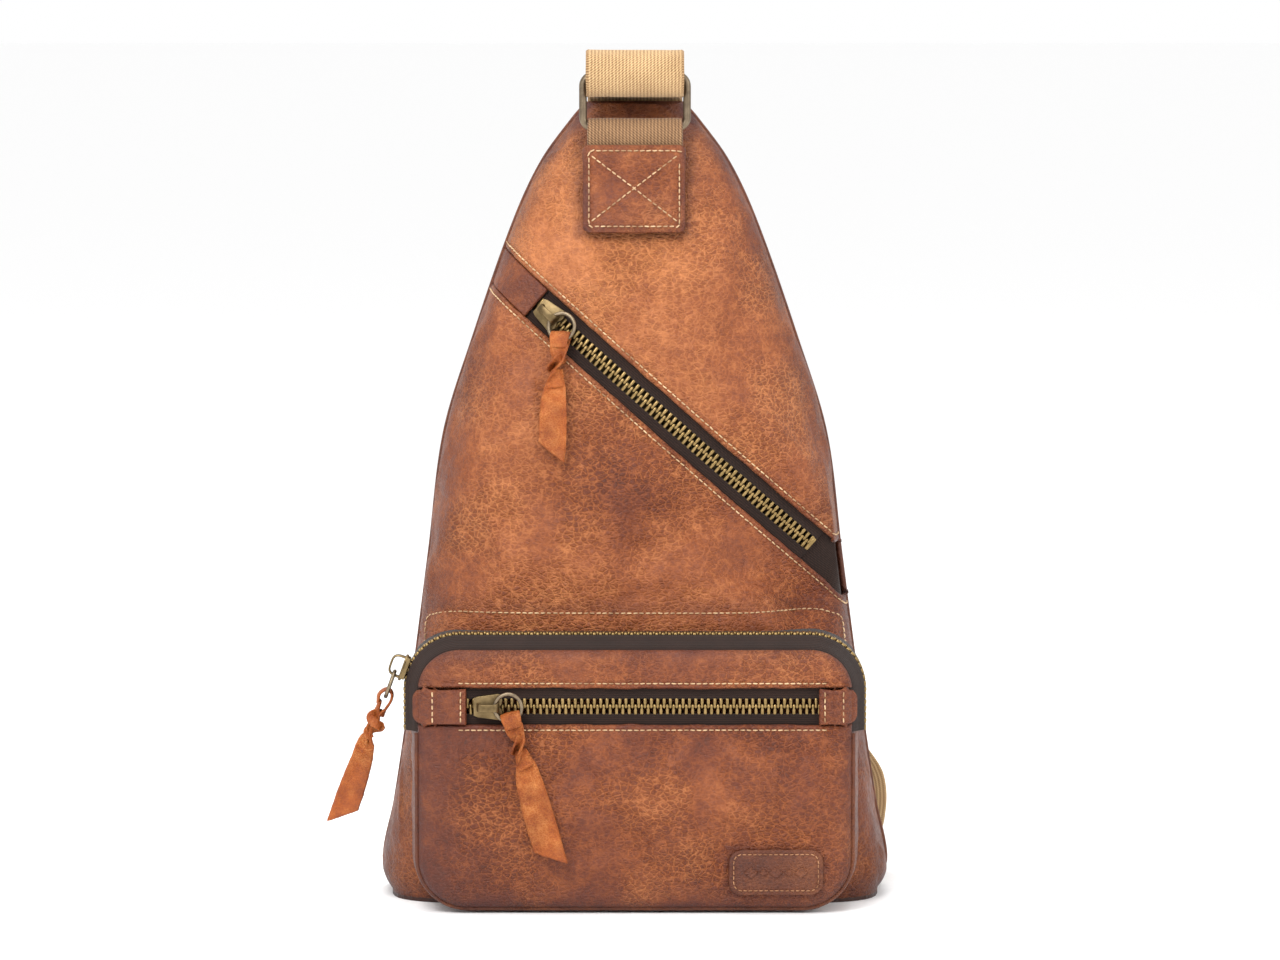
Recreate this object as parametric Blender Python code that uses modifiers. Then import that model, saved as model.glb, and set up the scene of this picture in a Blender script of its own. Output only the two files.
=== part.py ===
"""Leather sling bag with a diagonal zip, a front pocket and a webbing strap, as separate closed solids.

Frame: metres, +Z up, the front faces -Y, origin at the centre of the underside of the base.
Heights are z. Depths are measured forwards from the back plane, so y = BACK_Y - depth.
"""
import math

import bmesh
import bpy
from mathutils import Matrix, Vector

MM = 0.001

# Driving dimensions
BODY_HEIGHT = 389 * MM
BODY_HALF_WIDTH = 124.5 * MM
BODY_DEPTH = 68 * MM
LEATHER = 1.8 * MM
LINING = 0.8 * MM
LINING_INSET = 4.6 * MM
GAP = 0.3 * MM
BASE_THICKNESS = 2.0 * MM
BOARD_THICKNESS = 2.0 * MM
FOAM_THICKNESS = 5.0 * MM

POCKET_TOP = 128 * MM
POCKET_BOTTOM = 3 * MM
POCKET_DEPTH = 24 * MM
POCKET_SIDE_INSET = 5.5 * MM
POCKET_TOP_RADIUS = 20 * MM
POCKET_FOOT_RADIUS = 24 * MM
POCKET_CROWN = 5 * MM
ARCH_RISE = 8.5 * MM
GUSSET_FLARE = 4 * MM
POCKET_SEAM_DROP = 40 * MM

ZIP_WINDOW = 17.4 * MM
ZIP_TAIL_EASE = 0.8 * MM
TOOTH_ROW_WIDTH = 4.0 * MM
TOOTH_ROW_THICKNESS = 3.2 * MM
TAPE_THICKNESS = 0.8 * MM
TAPE_SINK = 2.9 * MM
TAPE_HEM = 3 * MM
SLIDER_LENGTH = 14 * MM
SLIDER_WIDTH = 12 * MM
SLIDER_PLATE = 1.5 * MM
SLIDER_CLEARANCE = 0.7 * MM
POCKET_ZIP_HEIGHT = 101 * MM
TAB_HEIGHT = 16 * MM
LABEL_WIDTH = 45 * MM
LABEL_HEIGHT = 22 * MM
LABEL_SIDE_INSET = 36.7 * MM
LABEL_RISE = 18 * MM

PULL_RING_RADIUS = 6.5 * MM
PULL_HINGE_AHEAD = 3.2 * MM
PULL_WIRE = 0.9 * MM
BRIDGE_HEIGHT = 6.2 * MM
BRIDGE_WALL = 1.1 * MM

STRAP_WIDTH = 45 * MM
STRAP_THICKNESS = 2.4 * MM
RING_WIRE = 1.9 * MM
RING_HEIGHT = 26 * MM
RING_STANDOFF = 10 * MM
RING_EASE = .5 * MM
RING_FOOT_Z = BODY_HEIGHT - 12 * MM
LOWER_RING_INSET = 25 * MM
LOWER_RING_TOP_Z = 101 * MM
LOWER_RING_HEIGHT = 20 * MM
LOWER_RING_DEPTH = -8.4 * MM
ADJUSTER_Z = BODY_HEIGHT - 127 * MM
ADJUSTER_HEIGHT = 24 * MM
ADJUSTER_WIRE = 1.4 * MM
PATCH_TOP = BODY_HEIGHT - 20 * MM
PATCH_HEIGHT = 42 * MM

MAIN_PULL_LENGTH = 62 * MM
POCKET_PULL_LENGTH = 74 * MM
GUSSET_PULL_LENGTH = 68 * MM

BACK_Y = BODY_DEPTH / 2

# Shape of the body: fraction of the height, then fraction of the half width or of the depth
WIDTH_SHAPE = ((0, .955), (.034, 1), (.11, .955), (.26, .885), (.43, .815), (.58, .755), (.70, .64),
               (.85, .475), (.925, .365), (.98, .24), (1, .185))
DEPTH_SHAPE = ((0, .94), (.1, 1), (.35, 1), (.55, .87), (.75, .66), (.87, .48), (.95, .32), (1, .14))
BOX_SHAPE = ((0, 5), (.2, 4.6), (.43, 3.6), (.75, 3), (1, 2.5))
SWEEP = [-90 + 7.5 * step for step in range(25)]

BROWN = (.42, .19, .09, 1)
DARK_BROWN = (.27, .13, .07, 1)
TAN = (.55, .25, .10, 1)
CANVAS = (.62, .48, .30, 1)
TAPE_BROWN = (.05, .025, .015, 1)
BRASS = (.33, .24, .14, 1)
BLACK = (.03, .03, .03, 1)

PARTS = None
CUTTERS = None


def clear_scene():
    for item in list(bpy.data.objects):
        bpy.data.objects.remove(item, do_unlink=True)


def new_collection(name):
    group = bpy.data.collections.new(name)
    bpy.context.scene.collection.children.link(group)
    return group


def material(name, colour, roughness, metallic=0.0):
    made = bpy.data.materials.new(name)
    made.use_nodes = True
    shader = made.node_tree.nodes["Principled BSDF"]
    shader.inputs["Base Color"].default_value = colour
    shader.inputs["Roughness"].default_value = roughness
    shader.inputs["Metallic"].default_value = metallic
    return made


def add_part(name, mesh, colour, roughness=.6, metallic=0.0, pivot=None):
    """One named part. Its mesh is given in world space; a moving part hangs on the empty on its joint's axis."""
    part = bpy.data.objects.new(name, mesh)
    part.data.materials.append(material(name, colour, roughness, metallic))
    PARTS.objects.link(part)
    if pivot is not None:
        part.parent = pivot
        part.matrix_parent_inverse = pivot.matrix_world.inverted()
    return part


def add_pivot(name, place):
    pivot = bpy.data.objects.new(name, None)
    pivot.location = place
    pivot.empty_display_size = 10 * MM
    PARTS.objects.link(pivot)
    bpy.context.view_layer.update()
    return pivot


def mesh_from(name, builder):
    mesh = bpy.data.meshes.new(name)
    builder.normal_update()
    builder.to_mesh(mesh)
    builder.free()
    return mesh


def add_sheet(name, rows, thickness, colour, outward, roughness=.6, pivot=None):
    """A shell: an open grid of points on the outer face, thickened away from the outward side."""
    builder = bmesh.new()
    grid = [[builder.verts.new(point) for point in row] for row in rows]
    for lower, upper in zip(grid, grid[1:]):
        for a, b, c, d in zip(lower, lower[1:], upper, upper[1:]):
            builder.faces.new((a, b, d, c))
    builder.normal_update()
    middle = builder.faces[:][len(builder.faces) // 2]
    if middle.normal.dot(outward(middle.calc_center_median())) < 0:
        bmesh.ops.reverse_faces(builder, faces=builder.faces[:])
    part = add_part(name, mesh_from(name, builder), colour, roughness, pivot=pivot)
    wall = part.modifiers.new("wall", "SOLIDIFY")
    wall.thickness = thickness
    wall.offset = -1
    wall.use_even_offset = False
    return part


def flat_mesh(name, outlines, thickness, frame):
    """A plate cut to a flat outline, with any further outlines as holes, as a closed mesh in world space."""
    curve = bpy.data.curves.new(name, "CURVE")
    curve.dimensions = "2D"
    curve.fill_mode = "BOTH"
    curve.extrude = thickness / 2
    for outline in outlines:
        spline = curve.splines.new("POLY")
        spline.points.add(len(outline) - 1)
        for point, (x, y) in zip(spline.points, outline):
            point.co = (x, y, 0, 1)
        spline.use_cyclic_u = True
    holder = bpy.data.objects.new(name, curve)
    return solid_mesh(name, holder, frame)


def wire_mesh(name, points, radius, closed=False, resolution=2):
    """A round wire along a line of points, as a closed mesh in world space."""
    curve = bpy.data.curves.new(name, "CURVE")
    curve.dimensions = "3D"
    curve.bevel_depth = radius
    curve.bevel_resolution = resolution
    curve.use_fill_caps = True
    spline = curve.splines.new("POLY")
    spline.points.add(len(points) - 1)
    for point, place in zip(spline.points, points):
        point.co = (*place, 1)
    spline.use_cyclic_u = closed
    holder = bpy.data.objects.new(name, curve)
    return solid_mesh(name, holder, Matrix.Identity(4))


def solid_mesh(name, holder, frame):
    PARTS.objects.link(holder)
    bpy.context.view_layer.update()
    evaluated = holder.evaluated_get(bpy.context.evaluated_depsgraph_get())
    mesh = bpy.data.meshes.new_from_object(evaluated)
    bpy.data.objects.remove(holder, do_unlink=True)
    mesh.materials.clear()
    mesh.name = name
    builder = bmesh.new()
    builder.from_mesh(mesh)
    bmesh.ops.remove_doubles(builder, verts=builder.verts[:], dist=.01 * MM)
    bmesh.ops.recalc_face_normals(builder, faces=builder.faces[:])
    builder.transform(frame)
    builder.to_mesh(mesh)
    builder.free()
    return mesh


def boolean(part, mesh, operation):
    """Joins a mesh to a part, or cuts it away."""
    cutter = bpy.data.objects.new(part.name + "_" + operation.lower(), mesh)
    cutter.hide_render = True
    cutter.display_type = "WIRE"
    CUTTERS.objects.link(cutter)
    step = part.modifiers.new(operation.lower(), "BOOLEAN")
    step.operation = operation
    step.object = cutter


def box_mesh(name, size, frame):
    builder = bmesh.new()
    bmesh.ops.create_cube(builder, size=1)
    bmesh.ops.scale(builder, vec=size, verts=builder.verts[:])
    builder.transform(frame)
    return mesh_from(name, builder)


def frame_at(place, x_axis, y_axis, z_axis):
    rotation = Matrix((x_axis, y_axis, z_axis)).transposed().to_4x4()
    return Matrix.Translation(place) @ rotation


def smooth_value(table, at):
    """A smooth curve through a short table of (place, value) pairs."""
    at = min(max(at, table[0][0]), table[-1][0])
    for index in range(len(table) - 1):
        if at <= table[index + 1][0]:
            break
    (x0, y0), (x1, y1) = table[index], table[index + 1]

    def slope(k):
        before, after = table[max(k - 1, 0)], table[min(k + 1, len(table) - 1)]
        return (after[1] - before[1]) / (after[0] - before[0])

    width = x1 - x0
    t = (at - x0) / width
    rise = slope(index) * width * (t ** 3 - 2 * t * t + t) + slope(index + 1) * width * (t ** 3 - t * t)
    return y0 * (2 * t ** 3 - 3 * t * t + 1) + y1 * (3 * t * t - 2 * t ** 3) + rise


def smooth_route(points, spacing):
    """Points along a smooth curve through the route's own points, with slopes measured along the route."""
    route = [Vector(point) for point in points]
    places = [0.0]
    for before, after in zip(route, route[1:]):
        places.append(places[-1] + (after - before).length)

    def slope(k):
        low, high = max(k - 1, 0), min(k + 1, len(route) - 1)
        return (route[high] - route[low]) / (places[high] - places[low])

    made = []
    for k in range(len(route) - 1):
        length = places[k + 1] - places[k]
        count = max(1, round(length / spacing))
        for step in range(count):
            t = step / count
            made.append(route[k] * (2 * t ** 3 - 3 * t * t + 1) + route[k + 1] * (3 * t * t - 2 * t ** 3)
                        + slope(k) * length * (t ** 3 - 2 * t * t + t)
                        + slope(k + 1) * length * (t ** 3 - t * t))
    return made + [route[-1]]


def fade(value, low, high):
    t = min(max((value - low) / (high - low), 0), 1)
    return t * t * (3 - 2 * t)


def half_width(z):
    return BODY_HALF_WIDTH * smooth_value(WIDTH_SHAPE, z / BODY_HEIGHT)


def full_depth(z):
    return BODY_DEPTH * smooth_value(DEPTH_SHAPE, z / BODY_HEIGHT)


def natural_depth(x, z):
    power = smooth_value(BOX_SHAPE, z / BODY_HEIGHT)
    across = min(abs(x) / half_width(z), 1)
    return full_depth(z) * (1 - across ** power) ** (1 / power)


class MainZip:
    """The diagonal zip: an arc of constant radius across the front, so that the slider can run along all of it."""
    left = Vector((-.665 * half_width(.752 * BODY_HEIGHT), 0, .752 * BODY_HEIGHT))
    right = Vector((.95 * half_width(.424 * BODY_HEIGHT), 0, .424 * BODY_HEIGHT))
    along = (right - left).normalized()
    across = Vector((-along.z, 0, along.x))
    middle = (left + right) / 2
    half = (right - left).length / 2
    end_depth = (natural_depth(left.x, left.z) + natural_depth(right.x, right.z)) / 2
    bow = natural_depth(middle.x, middle.z) - end_depth
    radius = half * half / (2 * bow) + bow / 2
    centre_depth = end_depth + bow - radius
    slider_place = -.91

    @classmethod
    def depth(cls, run):
        run = min(abs(run), cls.half * 1.25)
        return cls.centre_depth + math.sqrt(cls.radius ** 2 - run * run)

    @classmethod
    def point(cls, run, side, sink):
        """A place on the zip: run along the chord, side across it, sink below the leather's outer face."""
        angle = math.asin(run / cls.radius)
        reach = cls.radius - sink
        place = cls.middle + cls.along * (reach * math.sin(angle)) + cls.across * side
        return Vector((place.x, BACK_Y - cls.centre_depth - reach * math.cos(angle), place.z))

    @classmethod
    def centre(cls):
        return Vector((cls.middle.x, BACK_Y - cls.centre_depth, cls.middle.z))


def front_depth(x, z):
    """Depth of the bag's front: the natural bulge, eased onto the zip's arc beside the zip."""
    natural = natural_depth(x, z)
    offset = Vector((x, 0, z)) - MainZip.middle
    run, side = offset.dot(MainZip.along), offset.dot(MainZip.across)
    near = 1 - fade(abs(side), 15 * MM, 45 * MM)
    inside = 1 - fade(abs(run), MainZip.half, MainZip.half * 1.25)
    rim = fade(1 - abs(x) / half_width(z), .004, .03)
    weight = near * inside * rim
    return natural + (MainZip.depth(run) - natural) * weight


def body_point(angle, z, inset=0.0):
    """A place on the body's outer face at a height, by the sweep angle from the left rear edge to the right one."""
    power = smooth_value(BOX_SHAPE, z / BODY_HEIGHT)
    turn = math.radians(angle)
    share = abs(math.sin(turn)) ** (2 / power)
    x = math.copysign(half_width(z) * share, angle)
    depth = max(front_depth(x, z), 1.2 * MM)
    if inset:
        scale = 1 - inset / half_width(z)
        x, depth = x * scale, max(depth - 1.6 * inset, 7.6 * MM)
    return Vector((x, BACK_Y - depth, z))


def seam_height(angle, side):
    """Height where a seam that runs beside the zip crosses one sweep angle."""
    low, high = 0.0, BODY_HEIGHT
    for _ in range(40):
        z = (low + high) / 2
        offset = body_point(angle, z) - MainZip.middle
        offset.y = 0
        if offset.dot(MainZip.across) < side:
            low = z
        else:
            high = z
    return (low + high) / 2


def forwards(_place):
    return Vector((0, -1, 0))


def make_body():
    rise = BASE_THICKNESS + GAP
    edge = ZIP_WINDOW / 2
    upper, lower = panel_grids(edge, rise, BODY_HEIGHT)
    add_sheet("front_upper_panel", upper, LEATHER, BROWN, forwards)
    add_sheet("front_lower_panel", lower, LEATHER, BROWN, forwards)
    make_left_strip(edge - 2 * GAP)

    heights = [rise + (BODY_HEIGHT - rise) * step / 20 for step in range(21)]
    right = [(half_width(z), z) for z in heights]
    outline = right + [(-x, z) for x, z in reversed(right)]
    back_face = frame_at((0, BACK_Y + 1 * MM, 0), (1, 0, 0), (0, 0, 1), (0, -1, 0))
    add_part("back_panel", flat_mesh("back_panel", [outline], 2 * MM, back_face), DARK_BROWN)
    heights = [10 * MM + (BODY_HEIGHT - 50 * MM) * step / 12 for step in range(13)]
    right = [(half_width(z) - 7 * MM, z) for z in heights]
    outline = right + [(-x, z) for x, z in reversed(right)]
    pad_face = frame_at((0, BACK_Y - GAP - FOAM_THICKNESS / 2, 0), (1, 0, 0), (0, 0, 1), (0, -1, 0))
    add_part("back_pad", flat_mesh("back_pad", [outline], FOAM_THICKNESS, pad_face), BLACK)

    floor = Matrix.Translation((0, 0, BASE_THICKNESS / 2))
    outline = [body_point(a, rise).xy for a in SWEEP]
    rear = BACK_Y + 2 * MM
    outline = [(outline[0].x, rear)] + [tuple(p) for p in outline] + [(outline[-1].x, rear)]
    add_part("base_panel", flat_mesh("base_panel", [outline], BASE_THICKNESS, floor), DARK_BROWN)
    floor = Matrix.Translation((0, 0, rise + BOARD_THICKNESS / 2))
    inner = half_width(rise) - 6 * MM
    front = BACK_Y - full_depth(rise) + 6 * MM
    back = BACK_Y - GAP - FOAM_THICKNESS - 1 * MM
    cut = 22 * MM
    outline = [(-inner, back), (-inner, front + cut), (-inner + cut, front), (inner - cut, front),
               (inner, front + cut), (inner, back)]
    add_part("base_board", flat_mesh("base_board", [outline], BOARD_THICKNESS, floor), BLACK)
    make_lining(rise + BOARD_THICKNESS + GAP)


def make_left_strip(edge):
    """The leather that fills the band between the two seams, left of the zip's window."""
    rows = []
    for step in range(7):
        share = step / 6
        row = []
        for side in (-edge, 0, edge):
            rear = body_point(SWEEP[0], seam_height(SWEEP[0], side))
            reach = (rear - MainZip.middle).dot(MainZip.along)
            run = reach + (-MainZip.half - GAP - reach) * share
            flat = MainZip.middle + MainZip.along * run + MainZip.across * side
            depth = max(front_depth(flat.x, flat.z), 1.2 * MM)
            row.append(Vector((flat.x, BACK_Y - depth, flat.z)))
        rows.append(row)
    add_sheet("zip_left_strip", rows, LEATHER, BROWN, forwards)


def panel_grids(edge, foot, top, inset=0.0):
    """Grids of the front above the zip's upper seam and below its lower seam."""
    upper, lower = [], []
    for step in range(13):
        share = math.sin(math.radians(90 * step / 12))
        upper.append([body_point(a, seam_height(a, edge) + (top - seam_height(a, edge)) * share, inset)
                      for a in SWEEP])
    for step in range(16):
        share = (step / 15) ** 1.25
        lower.append([body_point(a, foot + (seam_height(a, -edge) - foot) * share, inset) for a in SWEEP])
    return upper, lower


def make_lining(floor):
    """The lining: a front sheet on each side of the zip, just inside the leather, and a back sheet on the foam."""
    upper, lower = panel_grids(ZIP_WINDOW / 2 + 3 * MM, floor, BODY_HEIGHT * .94, LINING_INSET)
    thin = [row[1:-1:2] for row in upper[::2]], [row[1:-1:2] for row in lower[::2] + lower[-1:]]
    for name, grid in zip(("main_lining_upper", "main_lining_lower"), thin):
        add_sheet(name, grid, LINING, CANVAS, forwards, .9)
    right = [(half_width(z) - 8 * MM, z) for z in spread(floor + 1 * MM, BODY_HEIGHT * .88, 12)]
    outline = right + [(-x, z) for x, z in reversed(right)]
    depth = 2 * GAP + FOAM_THICKNESS + LINING / 2
    face = frame_at((0, BACK_Y - depth, 0), (1, 0, 0), (0, 0, 1), (0, -1, 0))
    add_part("main_lining_back", flat_mesh("back", [outline], LINING, face), CANVAS, .9)


def band(point, runs, sides, sink):
    return [[point(run, side, sink) for side in sides] for run in runs]


def spread(low, high, count):
    return [low + (high - low) * step / count for step in range(count + 1)]


def make_zip(prefix, point, low, high, count, outward):
    """Two tapes and two tooth rows along a zip given by its own point function."""
    root = TOOTH_ROW_WIDTH + GAP / 2
    hem = ZIP_WINDOW / 2 + TAPE_HEM
    runs = spread(low, high, count)
    tooth_sink = TAPE_SINK + TAPE_THICKNESS / 2 - TOOTH_ROW_THICKNESS / 2
    for name, sign in (("upper", 1), ("lower", -1)):
        rows = band(point, runs, (sign * (root + GAP), sign * hem), TAPE_SINK)
        add_sheet(f"{prefix}_zip_tape_{name}", rows, TAPE_THICKNESS, TAPE_BROWN, outward, .9)
        rows = band(point, runs, (sign * GAP / 2, sign * root), tooth_sink)
        add_sheet(f"{prefix}_zip_teeth_{name}", rows, TOOTH_ROW_THICKNESS, BRASS, outward, .35)


def make_slider(prefix, frame, pivot, length=SLIDER_LENGTH, sag=0.0):
    """A slider in its own frame: x along the zip, y across it, z outwards from the leather's face."""
    top = TAPE_SINK + TAPE_THICKNESS / 2 - TOOTH_ROW_THICKNESS / 2
    under = -top + SLIDER_CLEARANCE
    over = under + SLIDER_PLATE
    inner = TOOTH_ROW_WIDTH + GAP + .6 * MM
    outer = SLIDER_WIDTH / 2 + .4 * MM
    foot = -TAPE_SINK + .5 * MM
    profile = [(-outer, foot), (-outer, over), (outer, over), (outer, foot), (inner, foot), (inner, under),
               (-inner, under), (-inner, foot)]
    lengthwise = frame @ Matrix(((0, 0, 1, 0), (1, 0, 0, 0), (0, 1, 0, 0), (0, 0, 0, 1)))
    body = add_part(f"{prefix}_slider", flat_mesh("body", [profile], length, lengthwise), BRASS, .4, 1,
                    pivot)
    reach, height = 5.6 * MM, BRIDGE_HEIGHT
    arch = [(-reach, over - .4 * MM), (-reach, over + height - 1 * MM), (-reach + 1 * MM, over + height),
            (reach - 1 * MM, over + height), (reach, over + height - 1 * MM), (reach, over - .4 * MM),
            (reach - BRIDGE_WALL, over - .4 * MM), (reach - BRIDGE_WALL, over + height - BRIDGE_WALL),
            (-reach + BRIDGE_WALL, over + height - BRIDGE_WALL), (-reach + BRIDGE_WALL, over - .4 * MM)]
    sideways = frame @ Matrix(((1, 0, 0, 0), (0, 0, 1, 0), (0, 1, 0, 0), (0, 0, 0, 1)))
    boolean(body, flat_mesh("bridge", [arch], 3.4 * MM, sideways), "UNION")
    depth = -TAPE_SINK - TAPE_THICKNESS / 2 - TOOTH_ROW_THICKNESS / 2 - SLIDER_CLEARANCE - .7 * MM - sag
    plate = frame @ Matrix.Translation((0, 0, depth))
    size = (length, 2 * outer, 1.4 * MM)
    add_part(f"{prefix}_slider_lower_plate", box_mesh("plate", size, plate), BRASS, .4, 1, pivot)
    return over + (height - BRIDGE_WALL) / 2


def make_pull(prefix, frame, wire_height, hang, length, width, slant, pivots, turned=False):
    """The wire ring in the slider's bridge and the leather pull on it.

    hang is the direction of the leather pull; pivots are the empties on the two hinge axes. A turned pull's tab
    is twisted a quarter turn from its loop.
    """
    ring_x = frame.to_3x3() @ Vector((1, 0, 0))
    ring_y = frame.to_3x3() @ Vector((0, 1, 0))
    hinge = frame @ Vector((PULL_HINGE_AHEAD, 0, wire_height))
    centre = hinge + ring_x * PULL_RING_RADIUS
    turns = [math.radians(18 * step) for step in range(20)]
    points = [centre + (ring_x * math.cos(t) + ring_y * math.sin(t)) * PULL_RING_RADIUS for t in turns]
    ring_pivot = add_pivot(pivots[0], hinge)
    mesh = wire_mesh("ring", points, PULL_WIRE, True)
    add_part(f"{prefix}_pull_ring", mesh, BRASS, .35, 1, ring_pivot)

    normal = ring_x.cross(ring_y).normalized()
    flat_hang = (hang - normal * hang.dot(normal)).normalized()
    eye = centre + flat_hang * PULL_RING_RADIUS
    lift = math.radians(slant)
    down = (flat_hang * math.cos(lift) + normal * math.sin(lift)).normalized()
    side = down.cross(normal).normalized()
    face = side.cross(down).normalized()
    pull_pivot = add_pivot(pivots[1], eye)
    round_turns = [math.radians(30 * step) for step in range(12)]
    rim = [(2.9 * MM * math.cos(t), 2.9 * MM * math.sin(t)) for t in round_turns]
    hole = [(1.8 * MM * math.cos(t), 1.8 * MM * math.sin(t)) for t in round_turns]
    loop = flat_mesh("loop", [rim, hole], 4 * MM, frame_at(eye, down, face, side))
    part = add_part(f"{prefix}_pull", loop, TAN, .6, 0, pull_pivot)
    knot = box_mesh("knot", (12 * MM, 6 * MM, 3.6 * MM), frame_at(eye + down * 8.4 * MM, down, side, face))
    boolean(part, knot, "UNION")
    half = width / 2
    tab = [(13.5 * MM, -2.5 * MM), (22 * MM, -half * .75), (34 * MM, -half), (length - 1 * MM, -half),
           (length - half * 1.3, half), (34 * MM, half * .9), (22 * MM, half * .7), (13.5 * MM, 2.5 * MM)]
    tab_frame = frame_at(eye, down, face, -side) if turned else frame_at(eye, down, side, face)
    boolean(part, flat_mesh("tab", [tab], 2.2 * MM, tab_frame), "UNION")


def make_main_zip():
    reach = MainZip.half - GAP
    tail = ZIP_WINDOW / 2 + TAPE_HEM + ZIP_TAIL_EASE
    make_zip("main", MainZip.point, -reach, reach - tail, 16, forwards)
    run = MainZip.half * MainZip.slider_place
    angle = math.asin(run / MainZip.radius)
    tangent = MainZip.along * math.cos(angle) + Vector((0, math.sin(angle), 0))
    normal = MainZip.along * math.sin(angle) - Vector((0, math.cos(angle), 0))
    frame = frame_at(MainZip.point(run, 0, 0), tangent, MainZip.across, normal)
    pivot = add_pivot("main_zip_arc_centre", MainZip.centre())
    height = make_slider("main", frame, pivot)
    make_pull("main", frame, height, Vector((-.04, 0, -1)), MAIN_PULL_LENGTH, 13 * MM, 7,
              ("main_ring_hinge", "main_pull_hinge"))


class Pocket:
    """The front pocket: a rounded rectangle, narrower than the body at the height of its zip."""
    half = half_width(POCKET_ZIP_HEIGHT) - POCKET_SIDE_INSET
    edge_depth = BODY_DEPTH + POCKET_DEPTH
    zip_depth = edge_depth + POCKET_CROWN
    split_z = POCKET_TOP - POCKET_SEAM_DROP
    middle_z = (POCKET_TOP + POCKET_BOTTOM) / 2
    corner = Vector((-half + POCKET_TOP_RADIUS, 0, POCKET_TOP - POCKET_TOP_RADIUS))

    @classmethod
    def side(cls, z):
        """Half width of the pocket's front at a height, with its rounded corners."""
        top, foot = POCKET_TOP - POCKET_TOP_RADIUS, POCKET_BOTTOM + POCKET_FOOT_RADIUS
        if z > top:
            return cls.half - POCKET_TOP_RADIUS + math.sqrt(max(POCKET_TOP_RADIUS ** 2 - (z - top) ** 2, 0))
        if z < foot:
            return cls.half - POCKET_FOOT_RADIUS + math.sqrt(max(POCKET_FOOT_RADIUS ** 2 - (foot - z) ** 2, 0))
        return cls.half

    @classmethod
    def depth(cls, x, z):
        across = min(abs(x) / cls.side(z), 1)
        up = min(abs(z - cls.middle_z) / ((POCKET_TOP - POCKET_BOTTOM) / 2), 1)
        crown = POCKET_CROWN + 3 * MM * (1 - fade(abs(z - cls.middle_z + 14 * MM), 0, 22 * MM))
        return cls.edge_depth + crown * math.sqrt(1 - across ** 20) * math.sqrt(1 - up ** 14)

    @classmethod
    def face(cls, x, z, out=0.0):
        return Vector((x, BACK_Y - cls.depth(x, z) - out, z))

    @classmethod
    def arch(cls):
        """Places and outward directions over the top, from the left seam to the right one."""
        top = POCKET_TOP - POCKET_TOP_RADIUS
        made = [((-cls.half, z), (-1, 0)) for z in spread(cls.split_z + GAP, top, 2)[:-1]]
        for step in range(9):
            turn = math.radians(180 - 11.25 * step)
            out = (math.cos(turn), math.sin(turn))
            made.append(((cls.corner.x + out[0] * POCKET_TOP_RADIUS, top + out[1] * POCKET_TOP_RADIUS), out))
        made += [((x, POCKET_TOP), (0, 1)) for x in spread(cls.corner.x, -cls.corner.x, 6)[1:-1]]
        left = [entry for entry in made if entry[0][0] < -.5 * cls.half and entry[1][0] <= 0]
        return made + [((-x, z), (-nx, nz)) for (x, z), (nx, nz) in reversed(left)]

    @classmethod
    def foot(cls):
        """Places and outward directions down the left side, under the pocket and up the right side."""
        foot = POCKET_BOTTOM + POCKET_FOOT_RADIUS
        left = [((-cls.half, z), (-1, 0)) for z in spread(cls.split_z - GAP, foot, 3)[:-1]]
        for step in range(7):
            turn = math.radians(180 + 15 * step)
            out = (math.cos(turn), math.sin(turn))
            left.append(((-cls.half + POCKET_FOOT_RADIUS + out[0] * POCKET_FOOT_RADIUS,
                          foot + out[1] * POCKET_FOOT_RADIUS), out))
        middle = [((0, POCKET_BOTTOM), (0, -1))]
        return left + middle + [((-x, z), (-nx, nz)) for (x, z), (nx, nz) in reversed(left)]


def arch_rise(back):
    """How far the zip band stands outside the pocket's front edge, by the distance behind that edge."""
    return ARCH_RISE * math.sin(math.radians(90 * min(back / (13 * MM), 1)))


def arch_point(entry, back, out=0.0):
    (x, z), (nx, nz) = entry
    rise = arch_rise(back) + out
    return Vector((x + nx * rise, BACK_Y - Pocket.edge_depth + back, z + nz * rise))


def rear_reach(entry, rise):
    """Distance from the pocket's front edge back to the body's front, just clear of it."""
    (x, z), (nx, nz) = entry
    reaches = []
    for out in (rise, rise - LEATHER - 1 * MM):
        limit = half_width(z + nz * out) * .985
        at_x = min(max(x + nx * out, -limit), limit)
        reaches.append(Pocket.edge_depth - front_depth(at_x, z + nz * out) - 1.6 * MM)
    return min(reaches)


def outwards(place):
    return Vector((place.x, 0, place.z - Pocket.middle_z))


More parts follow.
